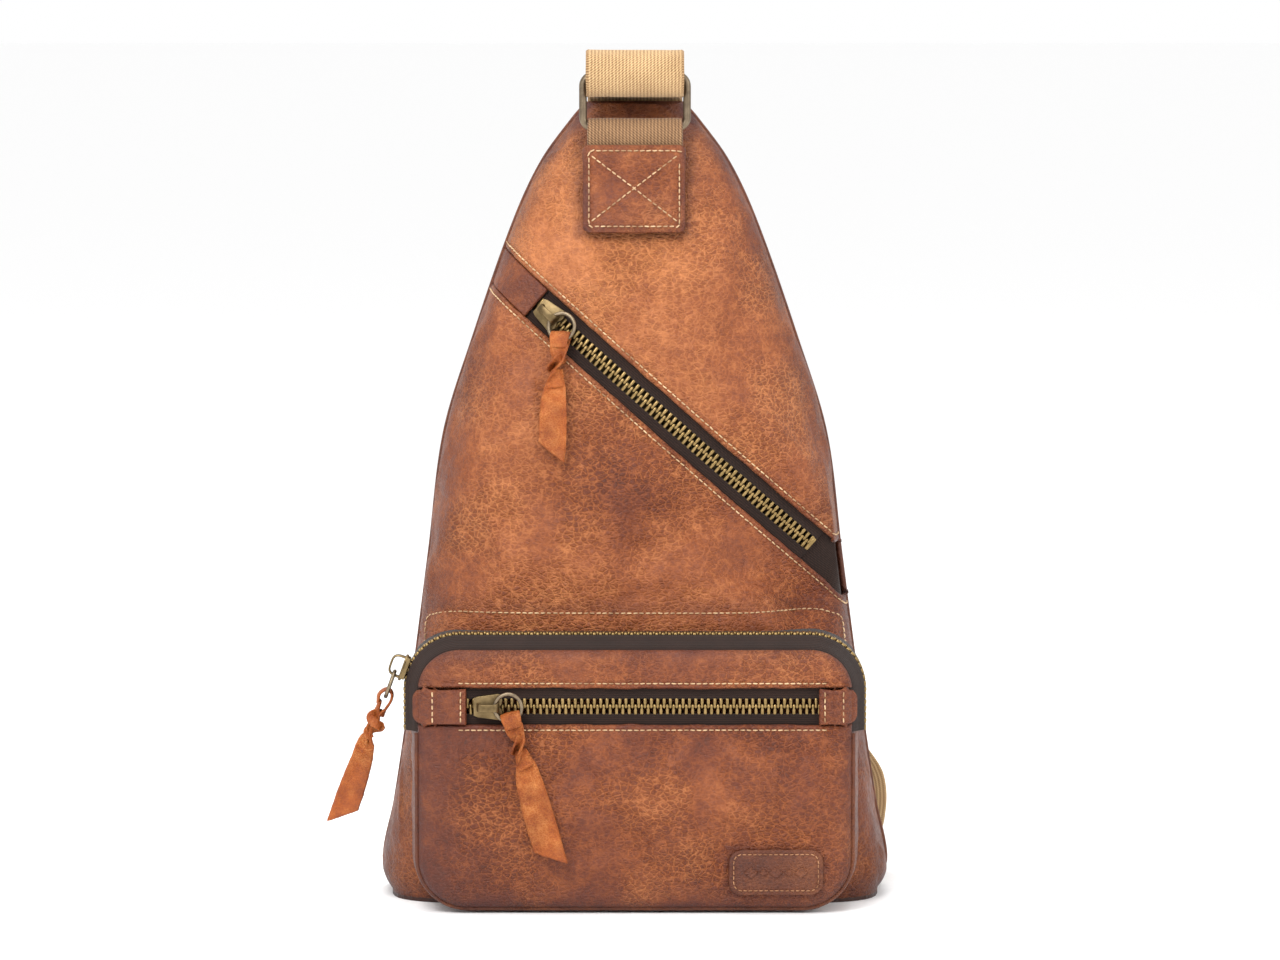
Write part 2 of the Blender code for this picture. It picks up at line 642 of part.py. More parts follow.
def make_pocket():
    across = (-1, -.985, -.95, -.9, -.8, -.6, -.35, 0, .35, .6, .8, .9, .95, .985, 1)
    edge = ZIP_WINDOW / 2
    foot = [POCKET_BOTTOM + POCKET_FOOT_RADIUS * (1 - math.cos(math.radians(15 * k))) for k in range(7)]
    rows = foot + spread(foot[-1], POCKET_ZIP_HEIGHT - edge, 6)[1:]
    grid = [[Pocket.face(Pocket.side(z) * share, z) for share in across] for z in rows]
    add_sheet("pocket_lower_panel", grid, LEATHER, BROWN, forwards)
    top = [POCKET_TOP - POCKET_TOP_RADIUS * (1 - math.sin(math.radians(15 * k))) for k in range(7)]
    rows = [z for z in top if z > POCKET_ZIP_HEIGHT + edge + 1 * MM]
    rows = [POCKET_ZIP_HEIGHT + edge] + rows
    grid = [[Pocket.face(Pocket.side(z) * share, z) for share in across] for z in rows]
    add_sheet("pocket_upper_panel", grid, LEATHER, BROWN, forwards)

    grid, lining = [], []
    for entry in Pocket.foot():
        (x, z), (nx, nz) = entry
        flare = GUSSET_FLARE if nz > -.5 else GUSSET_FLARE * .2
        reach = rear_reach(entry, flare)
        start = 1.2 * MM
        grid.append([Vector((x + nx * flare * s, BACK_Y - Pocket.edge_depth + start + (reach - start) * s,
                             z + nz * flare * s)) for s in (0, .5, 1)])
        deep = LEATHER + 1.4 * MM
        inner_reach = rear_reach(entry, -deep)
        lining.append([Vector((x - nx * deep, BACK_Y - Pocket.edge_depth + 5 * MM + (inner_reach - 6 * MM) * s,
                               z - nz * deep)) for s in (0, 1)])
    add_sheet("pocket_gusset", grid, LEATHER, BROWN, outwards)
    add_sheet("pocket_lining", lining, LINING, CANVAS, outwards, .9)
    size = (2 * (Pocket.half - 14 * MM), LINING, POCKET_ZIP_HEIGHT - edge - 5 * MM - 18 * MM)
    place = Vector((0, BACK_Y - Pocket.edge_depth + 1 * MM, 18 * MM + size[2] / 2))
    add_part("slip_pocket_sheet", box_mesh("sheet", size, Matrix.Translation(place)), CANVAS, .9)
    make_gusset_zip()
    make_pocket_zip()


def make_gusset_zip():
    path = Pocket.arch()
    tooth_back = 13.5 * MM
    root = TOOTH_ROW_WIDTH
    front_tape = [[arch_point(e, b, -TAPE_SINK + .8 * MM) for b in (1.4 * MM, 5 * MM, 8.6 * MM)] for e in path]
    add_sheet("gusset_zip_tape_front", front_tape, TAPE_THICKNESS, TAPE_BROWN, outwards, .9)
    out = TOOTH_ROW_THICKNESS / 2 - TAPE_THICKNESS / 2 - TAPE_SINK + .8 * MM
    for name, low in (("front", tooth_back - root - GAP / 2), ("back", tooth_back + GAP / 2)):
        rows = [[arch_point(e, b, ARCH_RISE + out - arch_rise(b)) for b in (low, low + root)] for e in path]
        add_sheet(f"gusset_zip_teeth_{name}", rows, TOOTH_ROW_THICKNESS, BRASS, outwards, .35)
    start = tooth_back + root + GAP * 1.5
    rows = []
    for entry in path:
        reach = rear_reach(entry, ARCH_RISE)
        rows.append([arch_point(entry, start + (reach - start) * s, -TAPE_SINK + .8 * MM) for s in (0, 1)])
    add_sheet("gusset_zip_tape_back", rows, TAPE_THICKNESS, TAPE_BROWN, outwards, .9)

    turn = math.radians(180 - 20)
    normal = Vector((math.cos(turn), 0, math.sin(turn)))
    tangent = Vector((-normal.z, 0, normal.x))
    if tangent.z > 0:
        tangent = -tangent
    base_out = POCKET_TOP_RADIUS + ARCH_RISE + .8 * MM
    corner = Vector((Pocket.corner.x, BACK_Y - Pocket.edge_depth + tooth_back, Pocket.corner.z))
    frame = frame_at(corner + normal * base_out, tangent, normal.cross(tangent), normal)
    pivot = add_pivot("gusset_corner_centre", corner)
    height = make_slider("gusset", frame, pivot, 12.6 * MM, 1.3 * MM)
    make_pull("gusset", frame, height, Vector((-.36, 0, -1)), GUSSET_PULL_LENGTH, 11.5 * MM, 0,
              ("gusset_ring_hinge", "gusset_pull_hinge"), True)


def make_pocket_zip():
    right, left = Pocket.half * .852, -Pocket.half * .78

    def point(run, side, sink):
        return Vector((run, BACK_Y - Pocket.zip_depth + sink, POCKET_ZIP_HEIGHT + side))

    make_zip("pocket", point, left - 3 * MM, right + 3 * MM, 2, forwards)
    frame = frame_at(point(left + 11 * MM, 0, 0), (1, 0, 0), (0, 0, 1), (0, -1, 0))
    pivot = add_pivot("pocket_slider_start", frame.translation)
    height = make_slider("pocket", frame, pivot)
    make_pull("pocket", frame, height, Vector((.3, 0, -1)), POCKET_PULL_LENGTH, 13 * MM, 14,
              ("pocket_ring_hinge", "pocket_pull_hinge"))
    for name, start, sign in (("left", left, -1), ("right", right, 1)):
        end = sign * (Pocket.half + 2.6 * MM)
        spots = [start + (end - start) * s for s in (0, .35, .65, .85, 1)]
        half = TAB_HEIGHT / 2
        rows = []
        for index, x in enumerate(spots):
            inner_x = min(abs(x), Pocket.half) * sign
            out = 2.3 * MM
            back = 2.2 * MM if index == len(spots) - 1 else 0
            trim = 3 * MM if index == len(spots) - 1 else 0
            rows.append([Pocket.face(inner_x, z, out) + Vector((x - inner_x, back, 0))
                         for z in spread(POCKET_ZIP_HEIGHT - half + trim, POCKET_ZIP_HEIGHT + half - trim, 2)])
        add_sheet(f"pocket_tab_{name}", rows, LEATHER, DARK_BROWN, forwards)
    rows = []
    centre_x, centre_z = Pocket.half - LABEL_SIDE_INSET, POCKET_BOTTOM + LABEL_RISE
    for x in spread(centre_x - LABEL_WIDTH / 2, centre_x + LABEL_WIDTH / 2, 4):
        rows.append([Pocket.face(x, z, 2.0 * MM)
                     for z in spread(centre_z - LABEL_HEIGHT / 2, centre_z + LABEL_HEIGHT / 2, 4)])
    add_sheet("label_patch", rows, 1.4 * MM, DARK_BROWN, forwards)


def ribbon(name, route, width, thickness, colour, spacing=6 * MM):
    """Flat webbing whose width lies along X. The route's points are (x, depth, z) on its middle line."""
    line = smooth_route([(x, BACK_Y - depth, z) for x, depth, z in route], spacing)
    rows = [[place + Vector((-width / 2, 0, 0)), place + Vector((width / 2, 0, 0))] for place in line]
    part = add_sheet(name, rows, thickness, colour, forwards, .9)
    part.modifiers["wall"].offset = 0
    part.modifiers["wall"].use_even_offset = True
    return part


def in_mm(points):
    return [tuple(value * MM for value in point) for point in points]


def rounded_loop(half_x, half_z, radius):
    made = []
    for cx, cz, start in ((1, 1, 0), (-1, 1, 90), (-1, -1, 180), (1, -1, 270)):
        for step in range(4):
            turn = math.radians(start + 30 * step)
            made.append((cx * (half_x - radius) + radius * math.cos(turn),
                         cz * (half_z - radius) + radius * math.sin(turn)))
    return made


def make_strap():
    wire_half = STRAP_WIDTH / 2 + 1 * MM + RING_WIRE
    ring_depth = full_depth(RING_FOOT_Z) + RING_STANDOFF
    ring_y = BACK_Y - ring_depth
    middle = RING_FOOT_Z + RING_HEIGHT / 2
    pivot = add_pivot("top_ring_hinge", (0, ring_y, RING_FOOT_Z))
    loop = [(x, ring_y, middle + z) for x, z in rounded_loop(wire_half, RING_HEIGHT / 2, 4 * MM)]
    add_part("top_ring", wire_mesh("ring", loop, RING_WIRE, True), BRASS, .4, 1, pivot)

    lift = RING_WIRE + GAP + STRAP_THICKNESS / 2 + RING_EASE
    top, foot = RING_FOOT_Z + RING_HEIGHT, RING_FOOT_Z
    front = ring_depth + lift
    under = GAP + STRAP_THICKNESS / 2 + .5 * MM
    route = [(0, natural_depth(0, z) + under, z) for z in spread(PATCH_TOP - PATCH_HEIGHT + 6 * MM, PATCH_TOP - 11 * MM, 3)]
    route += [(0, front - 1.2 * MM, foot - 7 * MM), (0, front, foot - 1 * MM),
              (0, ring_depth + lift * .7, foot + lift * .7), (0, ring_depth, foot + lift),
              (0, ring_depth - lift * .7, foot + lift * .7), (0, ring_depth - lift, foot)]
    ribbon("anchor_webbing", route, STRAP_WIDTH, STRAP_THICKNESS, CANVAS, 3 * MM)
    rows = []
    out = GAP * 2 + STRAP_THICKNESS + LEATHER + .9 * MM
    swing = front - 1.2 * MM - natural_depth(0, foot - 7 * MM) - under
    for z in spread(PATCH_TOP - PATCH_HEIGHT, PATCH_TOP, 5):
        lean = .86 * swing * fade(z, PATCH_TOP - 23 * MM, PATCH_TOP)
        rows.append([Vector((x, BACK_Y - natural_depth(0, z) - out - lean, z))
                     for x in spread(-STRAP_WIDTH / 2 - 2 * MM, STRAP_WIDTH / 2 + 2 * MM, 4)])
    add_sheet("anchor_patch", rows, LEATHER, BROWN, forwards)

    roll = [(14.5, -5.2), (15.5, 2), (19.5, 8.6), (26.5, 11), (33.5, 8), (36.5, 0), (33.5, -7.2), (26.5, -9.6),
            (14.5, -9.2)]
    roll = [(0, ring_depth + (depth - 26.5) * MM, top + z * MM) for depth, z in roll]
    part = ribbon("strap_top_loop", roll, STRAP_WIDTH + 1 * MM, STRAP_THICKNESS, CANVAS, 3 * MM)
    part.parent = pivot
    part.matrix_parent_inverse = pivot.matrix_world.inverted()

    inner = -2 * MM - .7 * MM - STRAP_THICKNESS / 2
    outer = inner - STRAP_THICKNESS - 2 * GAP
    start = ring_depth - 14 * MM
    crest = BODY_HEIGHT
    short = [(0, start, top - 9.2 * MM), (0, 4 * MM, crest + 4.2 * MM), (0, -1.5 * MM, crest + 3.4 * MM),
             (0, inner - .7 * MM, crest + .3 * MM), (0, inner - .6 * MM, crest - 5 * MM),
             (0, inner, crest - 12 * MM), (0, inner, crest - 22 * MM),
             (0, inner, ADJUSTER_Z + ADJUSTER_WIRE + GAP)]
    ribbon("strap_return_layer", short, STRAP_WIDTH, STRAP_THICKNESS, CANVAS, 5 * MM)
    long_route = [(0, start, top - 5.2 * MM), (0, 4 * MM, crest + 7.6 * MM), (0, -3.2 * MM, crest + 7.2 * MM),
                  (0, outer - 1.3 * MM, crest + 3.2 * MM), (0, outer - .8 * MM, crest - 5 * MM),
                  (0, outer, crest - 12 * MM), (0, outer, crest - 22 * MM), (0, outer, ADJUSTER_Z),
                  (0, outer, 160 * MM)]
    long_route += in_mm([(3, -8, 110), (9, -15, 55), (17, -30, 18), (26, -52, 4), (36, -85, 1.7), (47, -130, 1.7)])
    ribbon("strap_upper_run", long_route, STRAP_WIDTH, STRAP_THICKNESS, CANVAS, 9 * MM)
    foot_z = LOWER_RING_TOP_Z - LOWER_RING_HEIGHT
    ring_x, ring_d = half_width(LOWER_RING_TOP_Z) - LOWER_RING_INSET, LOWER_RING_DEPTH
    route = in_mm([(47.3, -130.5, 1.7), (56, -160, 1.7), (61, -173, 4.4), (63.5, -176.5, 9), (66, -171, 13.2),
                   (71, -152, 12.6), (80, -118, 8), (90, -82, 6), (98, -54, 12), (103, -33, 32), (101, -21, 54)])
    route += [(ring_x + 3 * MM, ring_d - lift - 1 * MM, foot_z - 7 * MM), (ring_x, ring_d - lift, foot_z),
              (ring_x, ring_d - lift * .7, foot_z + lift * .7), (ring_x, ring_d, foot_z + lift),
              (ring_x, ring_d + lift * .7, foot_z + lift * .7), (ring_x, ring_d + lift, foot_z),
              (ring_x, ring_d + lift - .3 * MM, foot_z - 5 * MM)]
    ribbon("strap_lower_run", route, STRAP_WIDTH, STRAP_THICKNESS, CANVAS, 5 * MM)

    pivot = add_pivot("lower_ring_hinge", (ring_x, BACK_Y - ring_d, LOWER_RING_TOP_Z))
    middle = LOWER_RING_TOP_Z - LOWER_RING_HEIGHT / 2
    loop = [(ring_x + x, BACK_Y - ring_d, middle + z)
            for x, z in rounded_loop(wire_half, LOWER_RING_HEIGHT / 2, 4 * MM)]
    add_part("lower_ring", wire_mesh("ring", loop, RING_WIRE, True), BRASS, .4, 1, pivot)
    lift = RING_WIRE + GAP + LEATHER / 2 + RING_EASE
    tab_top = LOWER_RING_TOP_Z + 28 * MM
    top = LOWER_RING_TOP_Z
    layer = -2 * MM - GAP - LEATHER / 2
    route = [(ring_x, layer, tab_top), (ring_x, layer, top + 10 * MM), (ring_x, ring_d + lift, top + 1 * MM),
             (ring_x, ring_d + lift * .7, top - lift * .7), (ring_x, ring_d, top - lift),
             (ring_x, ring_d - lift * .7, top - lift * .7), (ring_x, ring_d - lift, top),
             (ring_x, layer - LEATHER - 3 * GAP, top + 11 * MM), (ring_x, layer - LEATHER - GAP, tab_top)]
    ribbon("lower_ring_tab", route, STRAP_WIDTH - 9 * MM, LEATHER, DARK_BROWN, 3 * MM)

    pivot = add_pivot("adjuster_slide", (0, BACK_Y - outer, ADJUSTER_Z))
    out_y = BACK_Y - outer + STRAP_THICKNESS / 2 + .5 * MM + ADJUSTER_WIRE
    bar_y = BACK_Y - inner
    half_x = STRAP_WIDTH / 2 + 2.6 * MM
    loop = [(x, out_y, ADJUSTER_Z + z) for x, z in rounded_loop(half_x, ADJUSTER_HEIGHT / 2, 4 * MM)]
    part = add_part("strap_adjuster", wire_mesh("frame", loop, ADJUSTER_WIRE, True), BRASS, .4, 1, pivot)
    bar = [(-half_x, out_y, 0), (-half_x, bar_y + 2 * MM, 0), (-half_x + 2 * MM, bar_y, 0)]
    bar = [Vector((x, y, ADJUSTER_Z)) for x, y, _ in bar + [(-x, y, z) for x, y, z in reversed(bar)]]
    boolean(part, wire_mesh("bar", bar, ADJUSTER_WIRE - .1 * MM), "UNION")


def main():
    global PARTS, CUTTERS
    clear_scene()
    PARTS = new_collection("sling_bag")
    CUTTERS = new_collection("cutters")
    make_body()
    make_main_zip()
    make_pocket()
    make_strap()


if __name__ == "__main__":
    main()
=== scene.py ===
"""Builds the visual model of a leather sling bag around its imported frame: panels, zips, pulls, strap and stage."""
import math

import bmesh
import bpy
import numpy as np
from bpy.props import FloatProperty, FloatVectorProperty, PointerProperty
from mathutils import Matrix, Vector, noise


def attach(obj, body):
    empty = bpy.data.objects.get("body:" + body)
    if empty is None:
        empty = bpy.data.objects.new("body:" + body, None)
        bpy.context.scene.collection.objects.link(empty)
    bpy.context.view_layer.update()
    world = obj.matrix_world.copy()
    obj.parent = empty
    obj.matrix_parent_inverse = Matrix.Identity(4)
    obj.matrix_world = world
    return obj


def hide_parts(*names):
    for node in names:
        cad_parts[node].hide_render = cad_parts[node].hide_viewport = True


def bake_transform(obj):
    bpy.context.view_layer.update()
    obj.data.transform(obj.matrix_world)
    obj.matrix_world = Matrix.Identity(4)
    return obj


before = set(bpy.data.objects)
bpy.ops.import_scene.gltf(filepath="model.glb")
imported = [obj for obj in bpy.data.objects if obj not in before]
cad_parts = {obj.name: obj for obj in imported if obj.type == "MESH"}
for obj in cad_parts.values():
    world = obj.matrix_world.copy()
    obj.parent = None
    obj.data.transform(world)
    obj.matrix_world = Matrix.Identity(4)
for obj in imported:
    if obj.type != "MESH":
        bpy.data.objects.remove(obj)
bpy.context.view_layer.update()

bl_info = {
    "name": "Leather sling bag",
    "version": (1, 0, 0),
    "blender": (4, 5, 0),
    "location": "View3D > Sidebar > Sling Bag",
    "description": "Builds a leather sling bag with zips, leather pulls and a webbing strap",
    "category": "Add Mesh",
}

MM = 0.001

# The same shape values as the solid parts, so that each piece lies where its solid does
BODY_HEIGHT = 389 * MM
BODY_HALF_WIDTH = 124.5 * MM
BODY_DEPTH = 68 * MM
LEATHER = 1.8 * MM
GAP = 0.3 * MM
BASE_THICKNESS = 2.0 * MM
POCKET_TOP = 128 * MM
POCKET_BOTTOM = 3 * MM
POCKET_DEPTH = 24 * MM
POCKET_SIDE_INSET = 5.5 * MM
POCKET_TOP_RADIUS = 20 * MM
POCKET_FOOT_RADIUS = 24 * MM
POCKET_CROWN = 5 * MM
ARCH_RISE = 8.5 * MM
GUSSET_FLARE = 4 * MM
POCKET_SEAM_DROP = 40 * MM
POCKET_ZIP_HEIGHT = 101 * MM
ZIP_WINDOW = 17.4 * MM
ZIP_TAIL_EASE = 0.8 * MM
TAPE_SINK = 2.9 * MM
TAPE_THICKNESS = 0.8 * MM
TAPE_HEM = 3 * MM
TOOTH_ROW_WIDTH = 4.0 * MM
TOOTH_ROW_THICKNESS = 3.2 * MM
PULL_RING_RADIUS = 6.5 * MM
PULL_HINGE_AHEAD = 3.2 * MM
BRIDGE_HEIGHT = 6.2 * MM
STRAP_WIDTH = 45 * MM
STRAP_THICKNESS = 2.4 * MM
RING_WIRE = 1.9 * MM
RING_HEIGHT = 26 * MM
RING_STANDOFF = 10 * MM
RING_EASE = 0.5 * MM
RING_FOOT_Z = 377 * MM
LOWER_RING_INSET = 25 * MM
LOWER_RING_TOP_Z = 101 * MM
LOWER_RING_HEIGHT = 20 * MM
LOWER_RING_DEPTH = -8.4 * MM
ADJUSTER_Z = 262 * MM
ADJUSTER_HEIGHT = 24 * MM
ADJUSTER_WIRE = 1.4 * MM
PATCH_TOP = 368 * MM
PATCH_BOTTOM = 326 * MM
BACK_Y = BODY_DEPTH / 2

WIDTH_SHAPE = ((0, .955), (.034, 1), (.11, .955), (.26, .885), (.43, .815), (.58, .755), (.70, .64),
               (.85, .475), (.925, .365), (.98, .24), (1, .185))
DEPTH_SHAPE = ((0, .94), (.1, 1), (.35, 1), (.55, .87), (.75, .66), (.87, .48), (.95, .32), (1, .14))
BOX_SHAPE = ((0, 5), (.2, 4.6), (.43, 3.6), (.75, 3), (1, 2.5))

MATERIALS = {}


# ---- shape ---------------------------------------------------------------------------------------

def smooth_value(table, at):
    """A smooth curve through a short table of (place, value) pairs."""
    at = min(max(at, table[0][0]), table[-1][0])
    for index in range(len(table) - 1):
        if at <= table[index + 1][0]:
            break
    (x0, y0), (x1, y1) = table[index], table[index + 1]

    def slope(k):
        before, after = table[max(k - 1, 0)], table[min(k + 1, len(table) - 1)]
        return (after[1] - before[1]) / (after[0] - before[0])

    width = x1 - x0
    t = (at - x0) / width
    rise = slope(index) * width * (t ** 3 - 2 * t * t + t) + slope(index + 1) * width * (t ** 3 - t * t)
    return y0 * (2 * t ** 3 - 3 * t * t + 1) + y1 * (3 * t * t - 2 * t ** 3) + rise


def smooth_route(points, spacing):
    """Points along a smooth curve through the route's own points, with slopes measured along the route."""
    route = [Vector(point) for point in points]
    places = [0.0]
    for before, after in zip(route, route[1:]):
        places.append(places[-1] + (after - before).length)

    def slope(k):
        low, high = max(k - 1, 0), min(k + 1, len(route) - 1)
        return (route[high] - route[low]) / (places[high] - places[low])

    made = []
    for k in range(len(route) - 1):
        length = places[k + 1] - places[k]
        count = max(1, round(length / spacing))
        for step in range(count):
            t = step / count
            made.append(route[k] * (2 * t ** 3 - 3 * t * t + 1) + route[k + 1] * (3 * t * t - 2 * t ** 3)
                        + slope(k) * length * (t ** 3 - 2 * t * t + t)
                        + slope(k + 1) * length * (t ** 3 - t * t))
    return made + [route[-1]]


def fade(value, low, high):
    t = min(max((value - low) / (high - low), 0), 1)
    return t * t * (3 - 2 * t)


def spread(low, high, count):
    return [low + (high - low) * step / count for step in range(count + 1)]


def half_width(z):
    return BODY_HALF_WIDTH * smooth_value(WIDTH_SHAPE, z / BODY_HEIGHT)


def full_depth(z):
    return BODY_DEPTH * smooth_value(DEPTH_SHAPE, z / BODY_HEIGHT)


def natural_depth(x, z):
    power = smooth_value(BOX_SHAPE, z / BODY_HEIGHT)
    across = min(abs(x) / half_width(z), 1)
    return full_depth(z) * (1 - across ** power) ** (1 / power)


class MainZip:
    """The diagonal zip: an arc of constant radius across the front."""
    left = Vector((-.665 * half_width(.752 * BODY_HEIGHT), 0, .752 * BODY_HEIGHT))
    right = Vector((.95 * half_width(.424 * BODY_HEIGHT), 0, .424 * BODY_HEIGHT))
    along = (right - left).normalized()
    across = Vector((-along.z, 0, along.x))
    middle = (left + right) / 2
    half = (right - left).length / 2
    end_depth = (natural_depth(left.x, left.z) + natural_depth(right.x, right.z)) / 2
    bow = natural_depth(middle.x, middle.z) - end_depth
    radius = half * half / (2 * bow) + bow / 2
    centre_depth = end_depth + bow - radius
    slider_place = -.91

    @classmethod
    def depth(cls, run):
        run = min(abs(run), cls.half * 1.25)
        return cls.centre_depth + math.sqrt(cls.radius ** 2 - run * run)

    @classmethod
    def point(cls, run, side, sink):
        """A place on the zip: run along the chord, side across it, sink below the leather's outer face."""
        angle = math.asin(run / cls.radius)
        reach = cls.radius - sink
        place = cls.middle + cls.along * (reach * math.sin(angle)) + cls.across * side
        return Vector((place.x, BACK_Y - cls.centre_depth - reach * math.cos(angle), place.z))

    @classmethod
    def normal(cls, run):
        angle = math.asin(run / cls.radius)
        return cls.along * math.sin(angle) - Vector((0, math.cos(angle), 0))


def front_depth(x, z):
    """Depth of the bag's front: the natural bulge, eased onto the zip's arc beside the zip."""
    natural = natural_depth(x, z)
    offset = Vector((x, 0, z)) - MainZip.middle
    run, side = offset.dot(MainZip.along), offset.dot(MainZip.across)
    near = 1 - fade(abs(side), 15 * MM, 45 * MM)
    inside = 1 - fade(abs(run), MainZip.half, MainZip.half * 1.25)
    rim = fade(1 - abs(x) / half_width(z), .004, .03)
    weight = near * inside * rim
    return natural + (MainZip.depth(run) - natural) * weight


def body_point(angle, z):
    """A place on the body's outer face at a height, by the sweep angle from the left rear edge to the right one."""
    power = smooth_value(BOX_SHAPE, z / BODY_HEIGHT)
    share = abs(math.sin(math.radians(angle))) ** (2 / power)
    x = math.copysign(half_width(z) * share, angle)
    return Vector((x, BACK_Y - max(front_depth(x, z), 1.2 * MM), z))


def seam_height(angle, side):
    """Height where a seam that runs beside the zip crosses one sweep angle."""
    low, high = 0.0, BODY_HEIGHT
    for _ in range(32):
        z = (low + high) / 2
        offset = body_point(angle, z) - MainZip.middle
        offset.y = 0
        if offset.dot(MainZip.across) < side:
            low = z
        else:
            high = z
    return (low + high) / 2


class Pocket:
    """The front pocket: a rounded rectangle, narrower than the body at the height of its zip."""
    half = half_width(POCKET_ZIP_HEIGHT) - POCKET_SIDE_INSET
    edge_depth = BODY_DEPTH + POCKET_DEPTH
    zip_depth = edge_depth + POCKET_CROWN
    split_z = POCKET_TOP - POCKET_SEAM_DROP
    middle_z = (POCKET_TOP + POCKET_BOTTOM) / 2
    corner = Vector((-half + POCKET_TOP_RADIUS, 0, POCKET_TOP - POCKET_TOP_RADIUS))

    @classmethod
    def side(cls, z):
        """Half width of the pocket's front at a height, with its rounded corners."""
        top, foot = POCKET_TOP - POCKET_TOP_RADIUS, POCKET_BOTTOM + POCKET_FOOT_RADIUS
        if z > top:
            return cls.half - POCKET_TOP_RADIUS + math.sqrt(max(POCKET_TOP_RADIUS ** 2 - (z - top) ** 2, 0))
        if z < foot:
            return cls.half - POCKET_FOOT_RADIUS + math.sqrt(max(POCKET_FOOT_RADIUS ** 2
                - (foot - z) ** 2, 0))
        return cls.half

    @classmethod
    def rim_distance(cls, x, z):
        """How far inside the pocket's outline a place on its front lies."""
        radius = POCKET_TOP_RADIUS if z > cls.middle_z else POCKET_FOOT_RADIUS
        tall = (POCKET_TOP - POCKET_BOTTOM) / 2
        over_x = abs(x) - (cls.half - radius)
        over_z = abs(z - cls.middle_z) - (tall - radius)
        outside = math.hypot(max(over_x, 0), max(over_z, 0))
        return radius - outside - min(max(over_x, over_z), 0)

    @classmethod
    def depth(cls, x, z):
        """The front's depth: rounded off at the rim, full in its belly, and flat along the zip."""
        share = 1 - min(max(cls.rim_distance(x, z), 0) / (10 * MM), 1)
        belly = (1 - fade(abs(z - 48 * MM), 0, 42 * MM)) * (1 - (x / cls.half) ** 4)
        return cls.edge_depth + POCKET_CROWN * math.sqrt(1 - share ** 2.6) + 3.6 * MM * belly

    @classmethod
    def face(cls, x, z, out=0.0):
        return Vector((x, BACK_Y - cls.depth(x, z) - out, z))

    @classmethod
    def top_path(cls, step):
        """Places and outward directions over the top, from the left seam to the right one."""
        top = POCKET_TOP - POCKET_TOP_RADIUS
        rise = top - cls.split_z - GAP
        left = [((-cls.half, z), (-1, 0)) for z in spread(cls.split_z + GAP, top,
            max(2, round(rise / step)))[:-1]]
        turns = max(8, round(math.pi / 2 * POCKET_TOP_RADIUS / step))
        for index in range(turns + 1):
            turn = math.pi - math.pi / 2 * index / turns
            out = (math.cos(turn), math.sin(turn))
            left.append(((cls.corner.x + out[0] * POCKET_TOP_RADIUS, top + out[1] * POCKET_TOP_RADIUS),
                out))
        flat = spread(cls.corner.x, -cls.corner.x, round(-2 * cls.corner.x / step))[1:-1]
        return left + [((x, POCKET_TOP), (0, 1)) for x in flat] + mirrored(left)

    @classmethod
    def foot_path(cls, step):
        """Places and outward directions down the left side, under the pocket and up the right side."""
        foot = POCKET_BOTTOM + POCKET_FOOT_RADIUS
        drop = cls.split_z - GAP - foot
        left = [((-cls.half, z), (-1, 0)) for z in spread(cls.split_z - GAP, foot, round(drop / step))[:-1]]
        turns = max(8, round(math.pi / 2 * POCKET_FOOT_RADIUS / step))
        for index in range(turns + 1):
            turn = math.pi + math.pi / 2 * index / turns
            out = (math.cos(turn), math.sin(turn))
            left.append(((-cls.half + POCKET_FOOT_RADIUS + out[0] * POCKET_FOOT_RADIUS,
                          foot + out[1] * POCKET_FOOT_RADIUS), out))
        start = -cls.half + POCKET_FOOT_RADIUS
        flat = spread(start, -start, round(-2 * start / step))[1:-1]
        return left + [((x, POCKET_BOTTOM), (0, -1)) for x in flat] + mirrored(left)


def mirrored(entries):
    return [((-x, z), (-nx, nz)) for (x, z), (nx, nz) in reversed(entries)]


def arch_rise(back):
    """How far the zip band stands outside the pocket's front edge, by the distance behind that edge."""
    return ARCH_RISE * math.sin(math.radians(90 * min(back / (13 * MM), 1)))


def arch_point(entry, back, out=0.0):
    (x, z), (nx, nz) = entry
    rise = arch_rise(back) + out
    return Vector((x + nx * rise, BACK_Y - Pocket.edge_depth + back, z + nz * rise))


def rear_reach(entry, rise):
    """Distance from the pocket's front edge back to the body's front, just clear of it."""
    (x, z), (nx, nz) = entry
    reaches = []
    for out in (rise, rise - LEATHER - 1 * MM):
        limit = half_width(z + nz * out) * .985
        at_x = min(max(x + nx * out, -limit), limit)
        reaches.append(Pocket.edge_depth - front_depth(at_x, z + nz * out) - 1.6 * MM)
    return min(reaches)


# ---- leather's own relief ------------------------------------------------------------------------

def wave(place, size, seed):
    """Smooth noise from -1 to 1 whose bumps are about this size across."""
    shift = Vector((seed * 7.3, seed * 3.1, seed * 5.7))
    return noise.noise(Vector(place) / size + shift)


def crease(place, size, seed):
    """Fine ridges and folds: 1 on a fold's line, falling to 0 beside it."""
    return (1 - min(abs(wave(place, size, seed)) * 4, 1)) ** 2


def slack(place, calm=1.0):
    """How far leather stands off its pattern: broad swells, soft folds and fine creases."""
    bent = Vector(place) + Vector((0, 0, 9 * MM * wave(place, 40 * MM, 5)))
    swell = 1.1 * MM * wave(place, 55 * MM, 1) + .75 * MM * wave(bent, 22 * MM, 2)
    folds = .62 * MM * crease(bent, 32 * MM, 3) - .50 * MM * crease(bent, 19 * MM, 4)
    fine = .20 * MM * wave(place, 7 * MM, 6) - .20 * MM * crease(place, 10 * MM, 7)
    return calm * (swell + folds) + (.4 + .6 * calm) * fine


def zip_offset(place):
    flat = Vector((place[0], 0, place[2])) - MainZip.middle
    return flat.dot(MainZip.along), flat.dot(MainZip.across)


# ---- mesh helpers --------------------------------------------------------------------------------

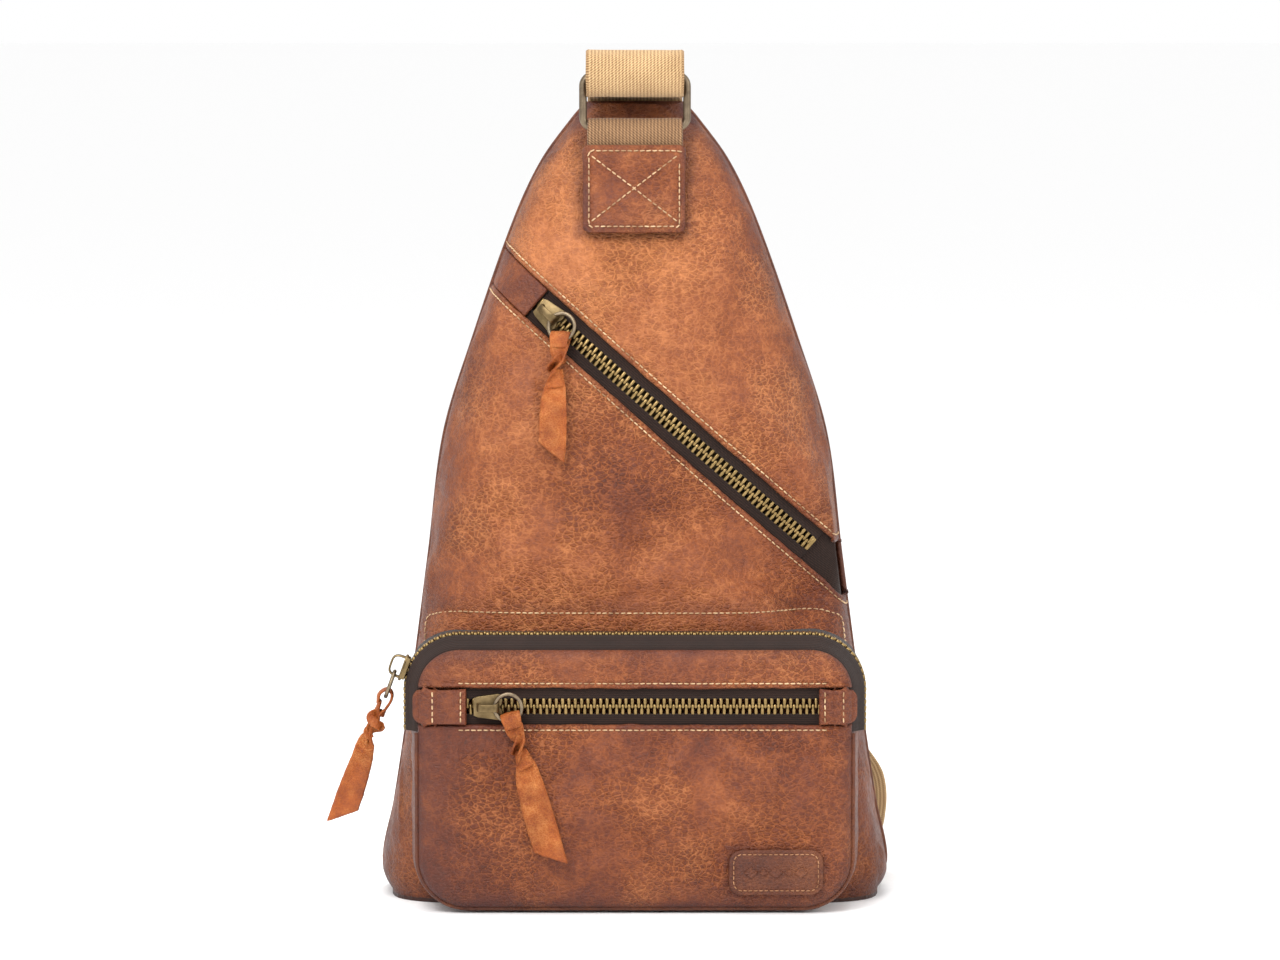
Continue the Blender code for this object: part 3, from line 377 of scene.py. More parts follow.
def grid_normals(grid):
    along = np.gradient(grid, axis=0)
    across = np.gradient(grid, axis=1)
    normal = np.cross(along, across)
    length = np.linalg.norm(normal, axis=2, keepdims=True)
    return normal / np.maximum(length, 1e-12)


def as_grid(rows):
    return np.array([[tuple(place) for place in row] for row in rows], dtype=float)


def facing(grid, outward):
    """The grid's normals, turned to the outward side."""
    normal = grid_normals(grid)
    centre = grid.shape[0] // 2, grid.shape[1] // 2
    if np.dot(normal[centre], outward(grid[centre])) < 0:
        normal = -normal
    return normal


def relieve(grid, normal, height):
    """Moves each point of a grid out along its normal by height(place)."""
    lift = np.array([[height(place) for place in row] for row in grid])
    return grid + normal * lift[..., None]


def link(name, mesh, material):
    made = bpy.data.objects.new(name, mesh)
    bpy.context.scene.collection.objects.link(made)
    if material:
        mesh.materials.append(MATERIALS[material])
    return made


def plain_tone(_place):
    """Rubbed darkness, lightness and coarseness of a small leather piece."""
    return .2, .5, .6


def set_tone(mesh, values):
    store = mesh.attributes.new("tone", "FLOAT_VECTOR", "POINT")
    store.data.foreach_set("vector", np.asarray(values, dtype=np.float32).ravel())


def shell(name, grid, normal, thickness, material, tone=plain_tone):
    """A closed sheet on a grid of outer points, with rounded cut edges, a UV map in metres and a tone attribute."""
    rows, cols = grid.shape[:2]
    inner = grid - normal * thickness
    middle = (grid + inner) / 2
    places = [grid.reshape(-1, 3), inner.reshape(-1, 3)]
    index = np.arange(rows * cols).reshape(rows, cols)
    flip = np.dot(np.cross(grid[1, 0] - grid[0, 0], grid[0, 1] - grid[0, 0]), normal[0, 0]) < 0
    a, b, c, d = index[:-1, :-1], index[:-1, 1:], index[1:, 1:], index[1:, :-1]
    outer = np.stack([a, d, c, b] if not flip else [a, b, c, d], axis=-1).reshape(-1, 4)
    faces = [outer, outer[:, ::-1] + rows * cols]
    border = list(index[0, :]) + list(index[1:, -1]) + list(index[-1, -2::-1]) + list(index[-2:0:-1, 0])
    flat_grid, flat_middle = grid.reshape(-1, 3), middle.reshape(-1, 3)
    centre_of = {}
    for i in range(rows):
        for j in (0, cols - 1):
            centre_of[index[i, j]] = index[min(max(i, 1), rows - 2), 1 if j == 0 else cols - 2]
    for j in range(cols):
        for i in (0, rows - 1):
            centre_of[index[i, j]] = index[1 if i == 0 else rows - 2, min(max(j, 1), cols - 2)]
    rim = []
    for spot in border:
        away = flat_grid[spot] - flat_grid[centre_of[spot]]
        away = away / max(np.linalg.norm(away), 1e-9)
        rim.append(flat_middle[spot] + away * thickness * .32)
    places.append(np.array(rim))
    base = 2 * rows * cols
    ring = []
    for k, spot in enumerate(border):
        after = (k + 1) % len(border)
        ring.append((spot, border[after], base + after, base + k))
        ring.append((base + k, base + after, border[after] + rows * cols, spot + rows * cols))
    ring = np.array(ring)
    faces.append(ring if not flip else ring[:, ::-1])
    mesh = bpy.data.meshes.new(name)
    mesh.from_pydata(np.concatenate(places).tolist(), [], np.concatenate(faces).tolist())
    mesh.validate()
    run_u = np.concatenate([np.zeros((rows, 1)),
        np.cumsum(np.linalg.norm(np.diff(grid, axis=1), axis=2), axis=1)], 1)
    run_v = np.concatenate([np.zeros((1, cols)),
        np.cumsum(np.linalg.norm(np.diff(grid, axis=0), axis=2), axis=0)], 0)
    flat = np.stack([run_u - run_u[:, -1:] / 2, run_v], axis=-1).reshape(-1, 2)
    flat = np.concatenate([flat, flat, flat[border]])
    lay_uv(mesh, flat)
    values = np.array([[tone(place) for place in row] for row in grid]).reshape(-1, 3)
    set_tone(mesh, np.concatenate([values, values, values[border]]))
    fix_facing(mesh)
    return link(name, mesh, material)


def lay_uv(mesh, by_vertex):
    corner = np.empty(len(mesh.loops), dtype=np.int32)
    mesh.loops.foreach_get("vertex_index", corner)
    layer = mesh.uv_layers.new(name="cloth")
    layer.data.foreach_set("uv", np.asarray(by_vertex)[corner].astype(np.float32).ravel())


def fix_facing(mesh, angle=50):
    builder = bmesh.new()
    builder.from_mesh(mesh)
    bmesh.ops.recalc_face_normals(builder, faces=builder.faces[:])
    builder.to_mesh(mesh)
    builder.free()
    mesh.shade_smooth()
    mesh.set_sharp_from_angle(angle=math.radians(angle))


def mesh_of(name, builder, material, angle=40):
    bmesh.ops.remove_doubles(builder, verts=builder.verts[:], dist=.002 * MM)
    mesh = bpy.data.meshes.new(name)
    builder.to_mesh(mesh)
    builder.free()
    fix_facing(mesh, angle)
    set_tone(mesh, [plain_tone(None)] * len(mesh.vertices))
    return link(name, mesh, material)


def tube(builder, points, radius, sides=12, closed=False):
    """A round tube along points, with its own frame carried along so that it doesn't twist."""
    points = [Vector(p) for p in points]
    count = len(points)
    rings = []
    up = Vector((0, 0, 1))
    for k, place in enumerate(points):
        ahead = points[(k + 1) % count] if closed or k < count - 1 else place
        behind = points[k - 1] if closed or k > 0 else place
        tangent = (ahead - behind).normalized()
        if k == 0 and abs(tangent.dot(up)) > .9:
            up = Vector((0, 1, 0))
        side = up.cross(tangent).normalized()
        up = tangent.cross(side).normalized()
        r = radius(k / max(count - 1, 1)) if callable(radius) else radius
        rings.append([builder.verts.new(place + (side * math.cos(t) + up * math.sin(t)) * r)
                      for t in (2 * math.pi * s / sides for s in range(sides))])
    pairs = list(zip(rings, rings[1:]))
    for low, high in pairs:
        for s in range(sides):
            n = (s + 1) % sides
            builder.faces.new((low[s], low[n], high[n], high[s]))
    if closed:
        low, high = rings[-1], rings[0]
        start = min(range(sides), key=lambda s: (high[s].co - low[0].co).length)
        for s in range(sides):
            n = (s + 1) % sides
            builder.faces.new((low[s], low[n], high[(n + start) % sides], high[(s + start) % sides]))
    else:
        for ring, place in ((rings[0], points[0]), (rings[-1], points[-1])):
            tip = builder.verts.new(place)
            for s in range(sides):
                builder.faces.new((ring[s], ring[(s + 1) % sides], tip))


def slab(builder, outline, low, high, place, bevel=0.0, segments=2):
    """A plate cut to a flat outline, from one height to another in its own frame, with its edges eased."""
    piece = bmesh.new()
    verts = [piece.verts.new((x, y, low)) for x, y in outline]
    bottom = piece.faces.new(verts)
    pushed = bmesh.ops.extrude_face_region(piece, geom=[bottom])
    bmesh.ops.translate(piece, vec=(0, 0, high - low),
                        verts=[v for v in pushed["geom"] if isinstance(v, bmesh.types.BMVert)])
    bmesh.ops.recalc_face_normals(piece, faces=piece.faces[:])
    if bevel:
        bmesh.ops.bevel(piece, geom=piece.edges[:], offset=bevel, segments=segments, profile=.5,
                        affect="EDGES", clamp_overlap=True)
    piece.transform(place)
    holder = bpy.data.meshes.new("slab")
    piece.to_mesh(holder)
    piece.free()
    builder.from_mesh(holder)
    bpy.data.meshes.remove(holder)


def seat_piece(piece, body, slot, *nodes):
    """Moves a piece with its body and lets it stand for CAD nodes, which it hides; its slot is not used."""
    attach(piece, body)
    if nodes:
        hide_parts(*nodes)


def frame_at(place, x_axis, y_axis, z_axis):
    return Matrix.Translation(place) @ Matrix((x_axis, y_axis, z_axis)).transposed().to_4x4()


# Frames that the slack leather is worked for, and the share of its even swelling that is taken back afterwards.
SETTLE_FRAMES = 20
SWELL_TAKEN_BACK = .6


def settle(grid, loose, swell, growth, cap_out, cap_in, step=3):
    """Cloth: the grid is held where loose is 0, grows a little and fills out, and its move is kept within caps.

    It is run on every third point, and its moves are spread back over the full grid.
    """
    rows = sorted(set(list(range(0, grid.shape[0], step)) + [grid.shape[0] - 1]))
    cols = sorted(set(list(range(0, grid.shape[1], step)) + [grid.shape[1] - 1]))
    coarse = grid[np.ix_(rows, cols)]
    normal = grid_normals(coarse)
    if normal[..., 1].mean() > 0:
        normal = -normal
    free = loose[np.ix_(rows, cols)]
    index = np.arange(coarse.shape[0] * coarse.shape[1]).reshape(coarse.shape[:2])
    quads = np.stack([index[:-1, :-1], index[:-1, 1:], index[1:, 1:], index[1:, :-1]],
        axis=-1).reshape(-1, 4)
    if np.dot(grid_normals(coarse)[1, 1], normal[1, 1]) > 0:
        quads = quads[:, ::-1]
    mesh = bpy.data.meshes.new("slack leather")
    mesh.from_pydata(coarse.reshape(-1, 3).tolist(), [], quads.tolist())
    cloth = bpy.data.objects.new("slack leather", mesh)
    bpy.context.scene.collection.objects.link(cloth)
    held = cloth.vertex_groups.new(name="held")
    for spot, share in enumerate(free.ravel()):
        held.add([spot], float(1 - share), "REPLACE")
    worked = cloth.modifiers.new("cloth", "CLOTH")
    worked.settings.quality = 6
    worked.settings.mass = .4
    worked.settings.tension_stiffness = worked.settings.compression_stiffness = 18
    worked.settings.shear_stiffness = 12
    worked.settings.bending_stiffness = 3
    worked.settings.vertex_group_mass = "held"
    worked.settings.shrink_min = -growth
    worked.settings.use_pressure = True
    worked.settings.uniform_pressure_force = swell
    worked.settings.effector_weights.gravity = 0
    worked.collision_settings.use_collision = False
    scene = bpy.context.scene
    for moment in range(1, SETTLE_FRAMES + 1):
        scene.frame_set(moment)
    shaped = cloth.evaluated_get(bpy.context.evaluated_depsgraph_get()).to_mesh()
    places = np.empty(len(shaped.vertices) * 3)
    shaped.vertices.foreach_get("co", places)
    moved = ((places.reshape(coarse.shape) - coarse) * normal).sum(axis=2)
    bpy.data.objects.remove(cloth, do_unlink=True)
    scene.frame_set(1)
    moved = np.clip(moved - np.median(moved) * SWELL_TAKEN_BACK, -cap_in, cap_out) * free
    full = np.array([np.interp(np.arange(grid.shape[1]), cols, line) for line in moved])
    full = np.array([np.interp(np.arange(grid.shape[0]), rows, line) for line in full.T]).T
    for _ in range(step):
        padded = np.pad(full, 1, mode="edge")
        full = (padded[:-2, 1:-1] + padded[2:, 1:-1] + padded[1:-1, :-2] + padded[1:-1, 2:]
                + 2 * padded[1:-1, 1:-1]) / 6
    return full * loose


# ---- materials -----------------------------------------------------------------------------------

def linear(code):
    """An sRGB hex colour as linear values with alpha 1."""
    parts = [int(code[k:k + 2], 16) / 255 for k in (1, 3, 5)]
    return tuple(p / 12.92 if p <= .04045 else ((p + .055) / 1.055) ** 2.4 for p in parts) + (1.0,)


def node(tree, kind, settings=None, inputs=None):
    """Adds a node: settings are its own properties (or a colour ramp's stops), each input a value or a socket."""
    made = tree.nodes.new(kind)
    for key, value in (settings or {}).items():
        if key != "stops":
            setattr(made, key, value)
            continue
        band = made.color_ramp
        while len(band.elements) < len(value):
            band.elements.new(.5)
        for element, (place, colour) in zip(band.elements, value):
            element.position = place
            element.color = linear(colour)
    for key, value in (inputs or {}).items():
        socket = made.inputs[key]
        if isinstance(value, bpy.types.NodeSocket):
            tree.links.new(value, socket)
        else:
            socket.default_value = value
    return made


def begin(name):
    made = bpy.data.materials.new(name)
    made.use_nodes = True
    tree = made.node_tree
    tree.nodes.clear()
    shader = node(tree, "ShaderNodeBsdfPrincipled")
    node(tree, "ShaderNodeOutputMaterial", None, {"Surface": shader.outputs[0]})
    MATERIALS[name] = made
    return tree, shader


def leather(name, deep, dark, mid, high, wear_and_shade_colour, pebble=2.3, grain=1.0, gloss=.47):
    """Pull-up leather: an oiled hide that pales where it is pulled, and darkens towards its edge colour where it is
    rubbed and where shade is painted in.

    Its pebbles are about 2 mm across with dark creases between them, and its wax leaves a soft, uneven sheen.
    """
    tree, shader = begin(name)
    place = node(tree, "ShaderNodeTexCoord").outputs["Object"]
    broad, blotch, mottle, shift, patch = (
        node(tree, "ShaderNodeTexNoise", None, {"Vector": place, "Scale": scale, "Detail": detail,
                                                "Roughness": rough, "Distortion": bend}).outputs
        for scale, detail, rough, bend in ((15, 3, .5, 0), (55, 7, .66, .4), (260, 6, .7, 0),
        (200, 3, .55, 0),
                                           (27, 3, .5, .3)))
    bent = node(tree, "ShaderNodeVectorMath", {"operation": "MULTIPLY_ADD"},
                {0: shift["Color"], 1: (.0024, .0024, .0024), 2: place}).outputs[0]
    wide = node(tree, "ShaderNodeMapping", None, {"Vector": bent, "Rotation": (0, .12, 0),
                                                  "Scale": (.72, .9, 1.15)}).outputs[0]
    drawn = node(tree, "ShaderNodeMapping", None, {"Vector": bent, "Rotation": (.3, .5, .2),
                                                   "Scale": (1.0, 1.0, .42)}).outputs[0]
    edges = [node(tree, "ShaderNodeTexVoronoi", {"feature": "DISTANCE_TO_EDGE"},
                  {"Vector": where, "Scale": 1000 / size, "Randomness": 1.0}).outputs["Distance"]
             for where, size in ((wide, pebble), (wide, pebble * .5), (drawn, 9.5))]
    pebbles, grit, lines, patchy = (
        node(tree, "ShaderNodeMapRange", {"clamp": True, "interpolation_type": "SMOOTHSTEP"},
             {"Value": value, "From Min": low, "From Max": high, "To Min": to_low,
             "To Max": 1.0}).outputs["Result"]
        for value, low, high, to_low in ((edges[0], 0, .24, 0), (edges[1], 0, .2, 0), (edges[2], 0, .07, 0),
                                         (patch["Fac"], .36, .62, .35)))
    # The tone attribute: its first value darkens towards the edge colour, for rubbed wear and painted shade; its
    # second adds lightness, with painted highlight and painted shade in it; its third sets how much the grain shows.
    tone = node(tree, "ShaderNodeSeparateXYZ", None,
                {0: node(tree, "ShaderNodeAttribute",
                {"attribute_name": "tone"}).outputs["Vector"]}).outputs
    grained = node(tree, "ShaderNodeMath", {"operation": "MULTIPLY"}, {0: patchy, 1: tone[2]}).outputs[0]
    value = 0.0
    for part, share, offset in ((broad["Fac"], .26, .12), (blotch["Fac"], .34, 0), (mottle["Fac"], .44, 0),
                                (tone[1], .9, -.57), (lines, .015, -.015)):
        scaled = node(tree, "ShaderNodeMath", {"operation": "MULTIPLY_ADD"}, {0: part, 1: share, 2: offset})
        value = node(tree, "ShaderNodeMath", {"operation": "ADD"},
            {0: scaled.outputs[0], 1: value}).outputs[0]
    gaps = node(tree, "ShaderNodeMath", {"operation": "SUBTRACT"}, {0: pebbles, 1: 1.0}).outputs[0]
    gaps = node(tree, "ShaderNodeMath", {"operation": "MULTIPLY"}, {0: gaps, 1: grained}).outputs[0]
    value = node(tree, "ShaderNodeMath", {"operation": "MULTIPLY_ADD"},
        {0: gaps, 1: -.22, 2: value}).outputs[0]
    colour = node(tree, "ShaderNodeValToRGB",
        {"stops": [(.18, deep), (.40, dark), (.58, mid), (.84, high)]},
                  {"Fac": value}).outputs["Color"]
    # Blotches make the darkening uneven; it lays painted shade as well as wear.
    worn = node(tree, "ShaderNodeMapRange", {"clamp": True},
                {"Value": blotch["Fac"], "From Min": .3, "From Max": .65, "To Min": 1.15,
                "To Max": .5}).outputs[0]
    edge = node(tree, "ShaderNodeMath", {"operation": "MULTIPLY", "use_clamp": True},
        {0: tone[0], 1: worn}).outputs[0]
    colour = node(tree, "ShaderNodeMix", {"data_type": "RGBA"},
        {0: edge, 6: colour, 7: linear(wear_and_shade_colour)}).outputs[2]
    sheen = node(tree, "ShaderNodeMapRange", {"clamp": True},
                 {"Value": mottle["Fac"], "From Min": .3, "From Max": .7, "To Min": gloss - .09,
                  "To Max": gloss + .16}).outputs["Result"]
    height = 0.0
    for part, share in ((pebbles, .75), (grit, .3)):
        height = node(tree, "ShaderNodeMath", {"operation": "MULTIPLY_ADD"},
            {0: part, 1: share, 2: height}).outputs[0]
    height = node(tree, "ShaderNodeMath", {"operation": "MULTIPLY"}, {0: height, 1: grained}).outputs[0]
    for part, share in ((lines, .12), (mottle["Fac"], .7)):
        height = node(tree, "ShaderNodeMath", {"operation": "MULTIPLY_ADD"},
            {0: part, 1: share, 2: height}).outputs[0]
    bump = node(tree, "ShaderNodeBump", None, {"Strength": .95 * grain, "Distance": .00105,
        "Height": height})
    for socket, value in (("Base Color", colour), ("Roughness", sheen), ("Normal", bump.outputs[0])):
        tree.links.new(value, shader.inputs[socket])
    shader.inputs["Specular IOR Level"].default_value = .34
    shader.inputs["Coat Weight"].default_value = .04
    shader.inputs["Coat Roughness"].default_value = .35


def cloth(name, dark, mid, light, pitch, rough=.9, relief=.3):
    """Woven cotton or polyester: warp and weft cross at the yarn's pitch, and a twill steps across them.

    The yarns stand up as small rounded ribs with dark gaps, and stray fibres scatter the light, so it has no gloss.
    """
    tree, shader = begin(name)
    uv = node(tree, "ShaderNodeUVMap", {"uv_map": "cloth"}).outputs[0]
    place = node(tree, "ShaderNodeTexCoord").outputs["Object"]
    wander, fuzz, stain = (node(tree, "ShaderNodeTexNoise", None,
        {"Vector": place, "Scale": scale, "Detail": detail})
                           .outputs for scale, detail in ((310, 3), (1650, 2), (71, 4)))
    bent = node(tree, "ShaderNodeVectorMath", {"operation": "MULTIPLY_ADD"},
                {0: wander["Color"], 1: (pitch * .0004,) * 3, 2: uv}).outputs[0]
    split = node(tree, "ShaderNodeSeparateXYZ", None, {0: bent}).outputs
    across = node(tree, "ShaderNodeMath", {"operation": "MULTIPLY"},
                  {0: split[0], 1: 2 * math.pi / (pitch * MM)}).outputs[0]
    along = node(tree, "ShaderNodeMath", {"operation": "MULTIPLY_ADD"},
                 {0: split[1], 1: 2 * math.pi / (pitch * .8 * MM), 2: across}).outputs[0]
    value = 0.0
    for part, share in ((across, .45), (along, .55)):
        rib = node(tree, "ShaderNodeMath", {"operation": "SINE"}, {0: part}).outputs[0]
        value = node(tree, "ShaderNodeMath", {"operation": "MULTIPLY_ADD"},
                     {0: rib, 1: share / 2, 2: value}).outputs[0]
    weave = node(tree, "ShaderNodeMath", {"operation": "ADD"}, {0: value, 1: .5}).outputs[0]
    value = 0.0
    for part, share in ((weave, .62), (fuzz["Fac"], .22), (stain["Fac"], .26)):
        value = node(tree, "ShaderNodeMath", {"operation": "MULTIPLY_ADD"},
            {0: part, 1: share, 2: value}).outputs[0]
    colour = node(tree, "ShaderNodeValToRGB", {"stops": [(.16, dark), (.5, mid), (.86, light)]},
        {"Fac": value})
    raised = node(tree, "ShaderNodeMath", {"operation": "MULTIPLY_ADD"}, {0: fuzz["Fac"], 1: .3, 2: weave})
    bump = node(tree, "ShaderNodeBump", None,
                {"Strength": .8, "Distance": relief * MM, "Height": raised.outputs[0]})
    tree.links.new(colour.outputs["Color"], shader.inputs["Base Color"])
    tree.links.new(bump.outputs[0], shader.inputs["Normal"])
    shader.inputs["Roughness"].default_value = rough
    shader.inputs["Specular IOR Level"].default_value = .22
    shader.inputs["Sheen Weight"].default_value = .1
    shader.inputs["Sheen Roughness"].default_value = .5


def metal(name, dark, mid, bright, rough, worn=.5):
    """Antiqued brass: plated, blackened and rubbed back, so it is dark in its hollows and bright on its high spots.

    The patina is patchy over a few millimetres and fine tumbling scratches break the reflections.
    """
    tree, shader = begin(name)
    place = node(tree, "ShaderNodeTexCoord").outputs["Object"]
    patina, speck = (node(tree, "ShaderNodeTexNoise", None,
        {"Vector": place, "Scale": scale, "Detail": detail,
                                                             "Roughness": .68}).outputs["Fac"]
                     for scale, detail in ((240, 6), (1430, 4)))
    edge = node(tree, "ShaderNodeNewGeometry").outputs["Pointiness"]
    # On the brass this value is wear alone: the worn high spots come out brighter.
    wear_and_shade, sheen = (node(tree, "ShaderNodeMapRange", {"clamp": True},
                          {"Value": value, "From Min": low, "From Max": high, "To Min": to_low,
                          "To Max": to_high}
                          ).outputs["Result"]
                     for value, low, high, to_low, to_high in ((edge, .49, .56, 0, worn),
                                                               (speck, .3, .7, rough - .08, rough + .12)))
    value = wear_and_shade
    for part, share in ((patina, .6), (speck, .25)):
        value = node(tree, "ShaderNodeMath", {"operation": "MULTIPLY_ADD"},
            {0: part, 1: share, 2: value}).outputs[0]
    colour = node(tree, "ShaderNodeValToRGB", {"stops": [(.25, dark), (.5, mid), (.95, bright)]},
        {"Fac": value})
    bump = node(tree, "ShaderNodeBump", None, {"Strength": .35, "Distance": .00008, "Height": speck})
    for socket, value in (("Base Color", colour.outputs["Color"]), ("Roughness", sheen),
        ("Normal", bump.outputs[0])):
        tree.links.new(value, shader.inputs[socket])
    shader.inputs["Metallic"].default_value = 1.0


def thread(name, shade, light):
    """Waxed cotton thread: two plies twisted together, slightly soiled, with a faint waxy gloss."""
    tree, shader = begin(name)
    place = node(tree, "ShaderNodeTexCoord").outputs["Object"]
    soil = node(tree, "ShaderNodeTexNoise", None,
        {"Vector": place, "Scale": 111.0, "Detail": 4.0}).outputs["Fac"]
    ply = node(tree, "ShaderNodeTexWave", {"wave_type": "BANDS", "bands_direction": "DIAGONAL"},
               {"Vector": place, "Scale": 260.0, "Distortion": .6}).outputs["Fac"]
    colour = node(tree, "ShaderNodeValToRGB", {"stops": [(.35, shade), (.65, light)]}, {"Fac": soil})
    bump = node(tree, "ShaderNodeBump", None, {"Strength": .5, "Distance": .0001, "Height": ply})
    tree.links.new(colour.outputs["Color"], shader.inputs["Base Color"])
    tree.links.new(bump.outputs[0], shader.inputs["Normal"])
    shader.inputs["Roughness"].default_value = .68


def floor_paper(name):
    """Matt white backdrop paper, with a trace of tooth so that it isn't a flat colour."""
    tree, shader = begin(name)
    place = node(tree, "ShaderNodeTexCoord").outputs["Object"]
    tooth = node(tree, "ShaderNodeTexNoise", None,
        {"Vector": place, "Scale": 400.0, "Detail": 3.0}).outputs["Fac"]
    colour = node(tree, "ShaderNodeValToRGB", {"stops": [(.2, "#fafafa"), (.8, "#ffffff")]}, {"Fac": tooth})
    tree.links.new(colour.outputs["Color"], shader.inputs["Base Color"])
    shader.inputs["Roughness"].default_value = .95
    shader.inputs["Specular IOR Level"].default_value = .1


def make_materials(look):
    shade = "#%02x%02x%02x" % tuple(
        round(255 * (c * 12.92 if c <= .0031308 else 1.055 * c ** (1 / 2.4) - .055))
        for c in look.leather_colour)
    # The last colour of each leather is its edge colour, for rubbed wear and painted shade.
    leather("pull-up leather", "#351508", "#612b12", shade, "#b67040", "#4a2118")
    leather("burnished leather", "#301309", "#4a2112", "#65341d", "#864e2c", "#2d120b", 1.6, .8, .44)
    leather("thong leather", "#582408", "#853b12", "#aa571c", "#d48a4a", "#4f1f0a", 1.1, .8, .5)
    leather("back leather", "#3b1a0d", "#592d18", "#753f26", "#925a3a", "#38180c")
    cloth("cotton webbing", "#604526", "#a98760", "#d0b184", look.weave_pitch, relief=.5)
    cloth("brown cotton webbing", "#3f2c1d", "#7b5b41", "#a98762", look.weave_pitch, relief=.45)
    cloth("polyester zip tape", "#0a0503", "#1d110c", "#38241b", 1.1, .82, relief=.2)
    cloth("cotton lining", "#5b4a34", "#80694f", "#a38d6a", .7)
    metal("antique brass teeth", "#2a2014", "#60502f", "#a58a5c", .40, .35)
    metal("antique brass casting", "#231b12", "#51432e", "#8f7a56", .44, .35)
    metal("antique brass wire", "#2b231b", "#5d5044", "#98886f", .40, .4)
    thread("cream thread", "#8e6a49", "#cfae86")
    thread("tan thread", "#7d5030", "#b0805a")
    floor_paper("backdrop paper")


# ---- repeats along a line, in Geometry Nodes -----------------------------------------------------

def repeat_tree():
    """Geometry Nodes that set copies of one small piece along a line, each turned to the line and its surface."""
    name = "pieces along a line"
    if name in bpy.data.node_groups:
        return bpy.data.node_groups[name]
    tree = bpy.data.node_groups.new(name, "GeometryNodeTree")
    face = tree.interface
    face.new_socket("Geometry", in_out="INPUT", socket_type="NodeSocketGeometry")
    face.new_socket("Piece", in_out="INPUT", socket_type="NodeSocketObject")
    pitch = face.new_socket("Pitch", in_out="INPUT", socket_type="NodeSocketFloat")
    pitch.default_value, pitch.min_value, pitch.subtype = 3 * MM, .5 * MM, "DISTANCE"
    face.new_socket("Unevenness", in_out="INPUT", socket_type="NodeSocketFloat")
    seed = face.new_socket("Seed", in_out="INPUT", socket_type="NodeSocketInt")
    seed.default_value = 4
    face.new_socket("Finish", in_out="INPUT", socket_type="NodeSocketMaterial")
    face.new_socket("Geometry", in_out="OUTPUT", socket_type="NodeSocketGeometry")
    into = node(tree, "NodeGroupInput").outputs
    line = node(tree, "GeometryNodeMeshToCurve", None, {"Mesh": into["Geometry"]})
    even = node(tree, "GeometryNodeResampleCurve", {"mode": "LENGTH"},
                {"Curve": line.outputs[0], "Length": into["Pitch"]})
    out = node(tree, "GeometryNodeInputNamedAttribute", {"data_type": "FLOAT_VECTOR"}, {"Name": "out"})
    turn = node(tree, "FunctionNodeAxesToRotation", {"primary_axis": "X", "secondary_axis": "Z"},
                {0: node(tree, "GeometryNodeInputTangent").outputs[0], 1: out.outputs[0]})
    wobble = node(tree, "FunctionNodeRandomValue", {"data_type": "FLOAT_VECTOR"},
                  {0: (-1, -1, -1), 1: (1, 1, 1), "Seed": into["Seed"]})
    tilt = node(tree, "ShaderNodeVectorMath", {"operation": "SCALE"},
                {0: wobble.outputs[0], "Scale": into["Unevenness"]})
    spun = node(tree, "FunctionNodeRotateRotation", {"rotation_space": "LOCAL"},
                {0: turn.outputs[0], 1: node(tree, "FunctionNodeEulerToRotation", None,
                                             {0: tilt.outputs[0]}).outputs[0]})
    piece = node(tree, "GeometryNodeObjectInfo", {"transform_space": "ORIGINAL"}, {"Object": into["Piece"]})
    copies = node(tree, "GeometryNodeInstanceOnPoints", None,
                  {"Points": even.outputs[0], "Instance": piece.outputs["Geometry"],
                  "Rotation": spun.outputs[0]})
    real = node(tree, "GeometryNodeRealizeInstances", None, {0: copies.outputs[0]})
    done = node(tree, "GeometryNodeSetMaterial", None, {0: real.outputs[0], "Material": into["Finish"]})
    node(tree, "NodeGroupOutput", None, {0: done.outputs[0]})
    return tree


def repeat(name, lines, piece, pitch, material, unevenness=0.0, seed=4):
    """One mesh of small pieces set along lines. Each line is a list of (place, outward direction)."""
    places, edges, outs = [], [], []
    for line in lines:
        start = len(places)
        places += [tuple(p) for p, _ in line]
        outs += [tuple(n) for _, n in line]
        edges += [(start + k, start + k + 1) for k in range(len(line) - 1)]
    mesh = bpy.data.meshes.new(name + " lines")
    mesh.from_pydata(places, edges, [])
    store = mesh.attributes.new("out", "FLOAT_VECTOR", "POINT")
    store.data.foreach_set("vector", np.array(outs, dtype=np.float32).ravel())
    holder = bpy.data.objects.new(name + " lines", mesh)
    tree = repeat_tree()
    worked = holder.modifiers.new("pieces", "NODES")
    worked.node_group = tree
    values = {"Piece": piece, "Pitch": pitch, "Unevenness": unevenness, "Seed": seed,
        "Finish": MATERIALS[material]}
    for item in tree.interface.items_tree:
        if item.item_type == "SOCKET" and item.in_out == "INPUT" and item.name in values:
            worked[item.identifier] = values[item.name]
    bpy.context.scene.collection.objects.link(holder)
    bpy.context.view_layer.update()
    made = bpy.data.meshes.new_from_object(holder.evaluated_get(bpy.context.evaluated_depsgraph_get()))
    made.name = name
    bpy.data.objects.remove(holder, do_unlink=True)
    if not made.materials:
        made.materials.append(MATERIALS[material])
    bpy.data.objects.remove(piece, do_unlink=True)
    made.shade_smooth()
    made.set_sharp_from_angle(angle=math.radians(50))
    return link(name, made, None)


def stitch_piece(length, radius):
    """One visible stitch: a short round of thread, sunk at both ends where it enters the hide."""
    builder = bmesh.new()
    spots = [(-.5, -.9, .35), (-.36, 0, .9), (-.12, .35, 1), (.12, .35, 1), (.36, 0, .9), (.5, -.9, .35)]
    rings = []
    for x, z, r in spots:
        rings.append([builder.verts.new((x * length, math.cos(t) * radius * r,
            z * radius + math.sin(t) * radius * r))
                      for t in (math.pi / 3 * s for s in range(6))])
    for low, high in zip(rings, rings[1:]):
        for s in range(6):
            builder.faces.new((low[s], low[(s + 1) % 6], high[(s + 1) % 6], high[s]))
    builder.faces.new(rings[0][::-1])
    builder.faces.new(rings[-1])
    mesh = bpy.data.meshes.new("stitch")
    builder.to_mesh(mesh)
    builder.free()
    fix_facing(mesh, 80)
    return bpy.data.objects.new("stitch", mesh)


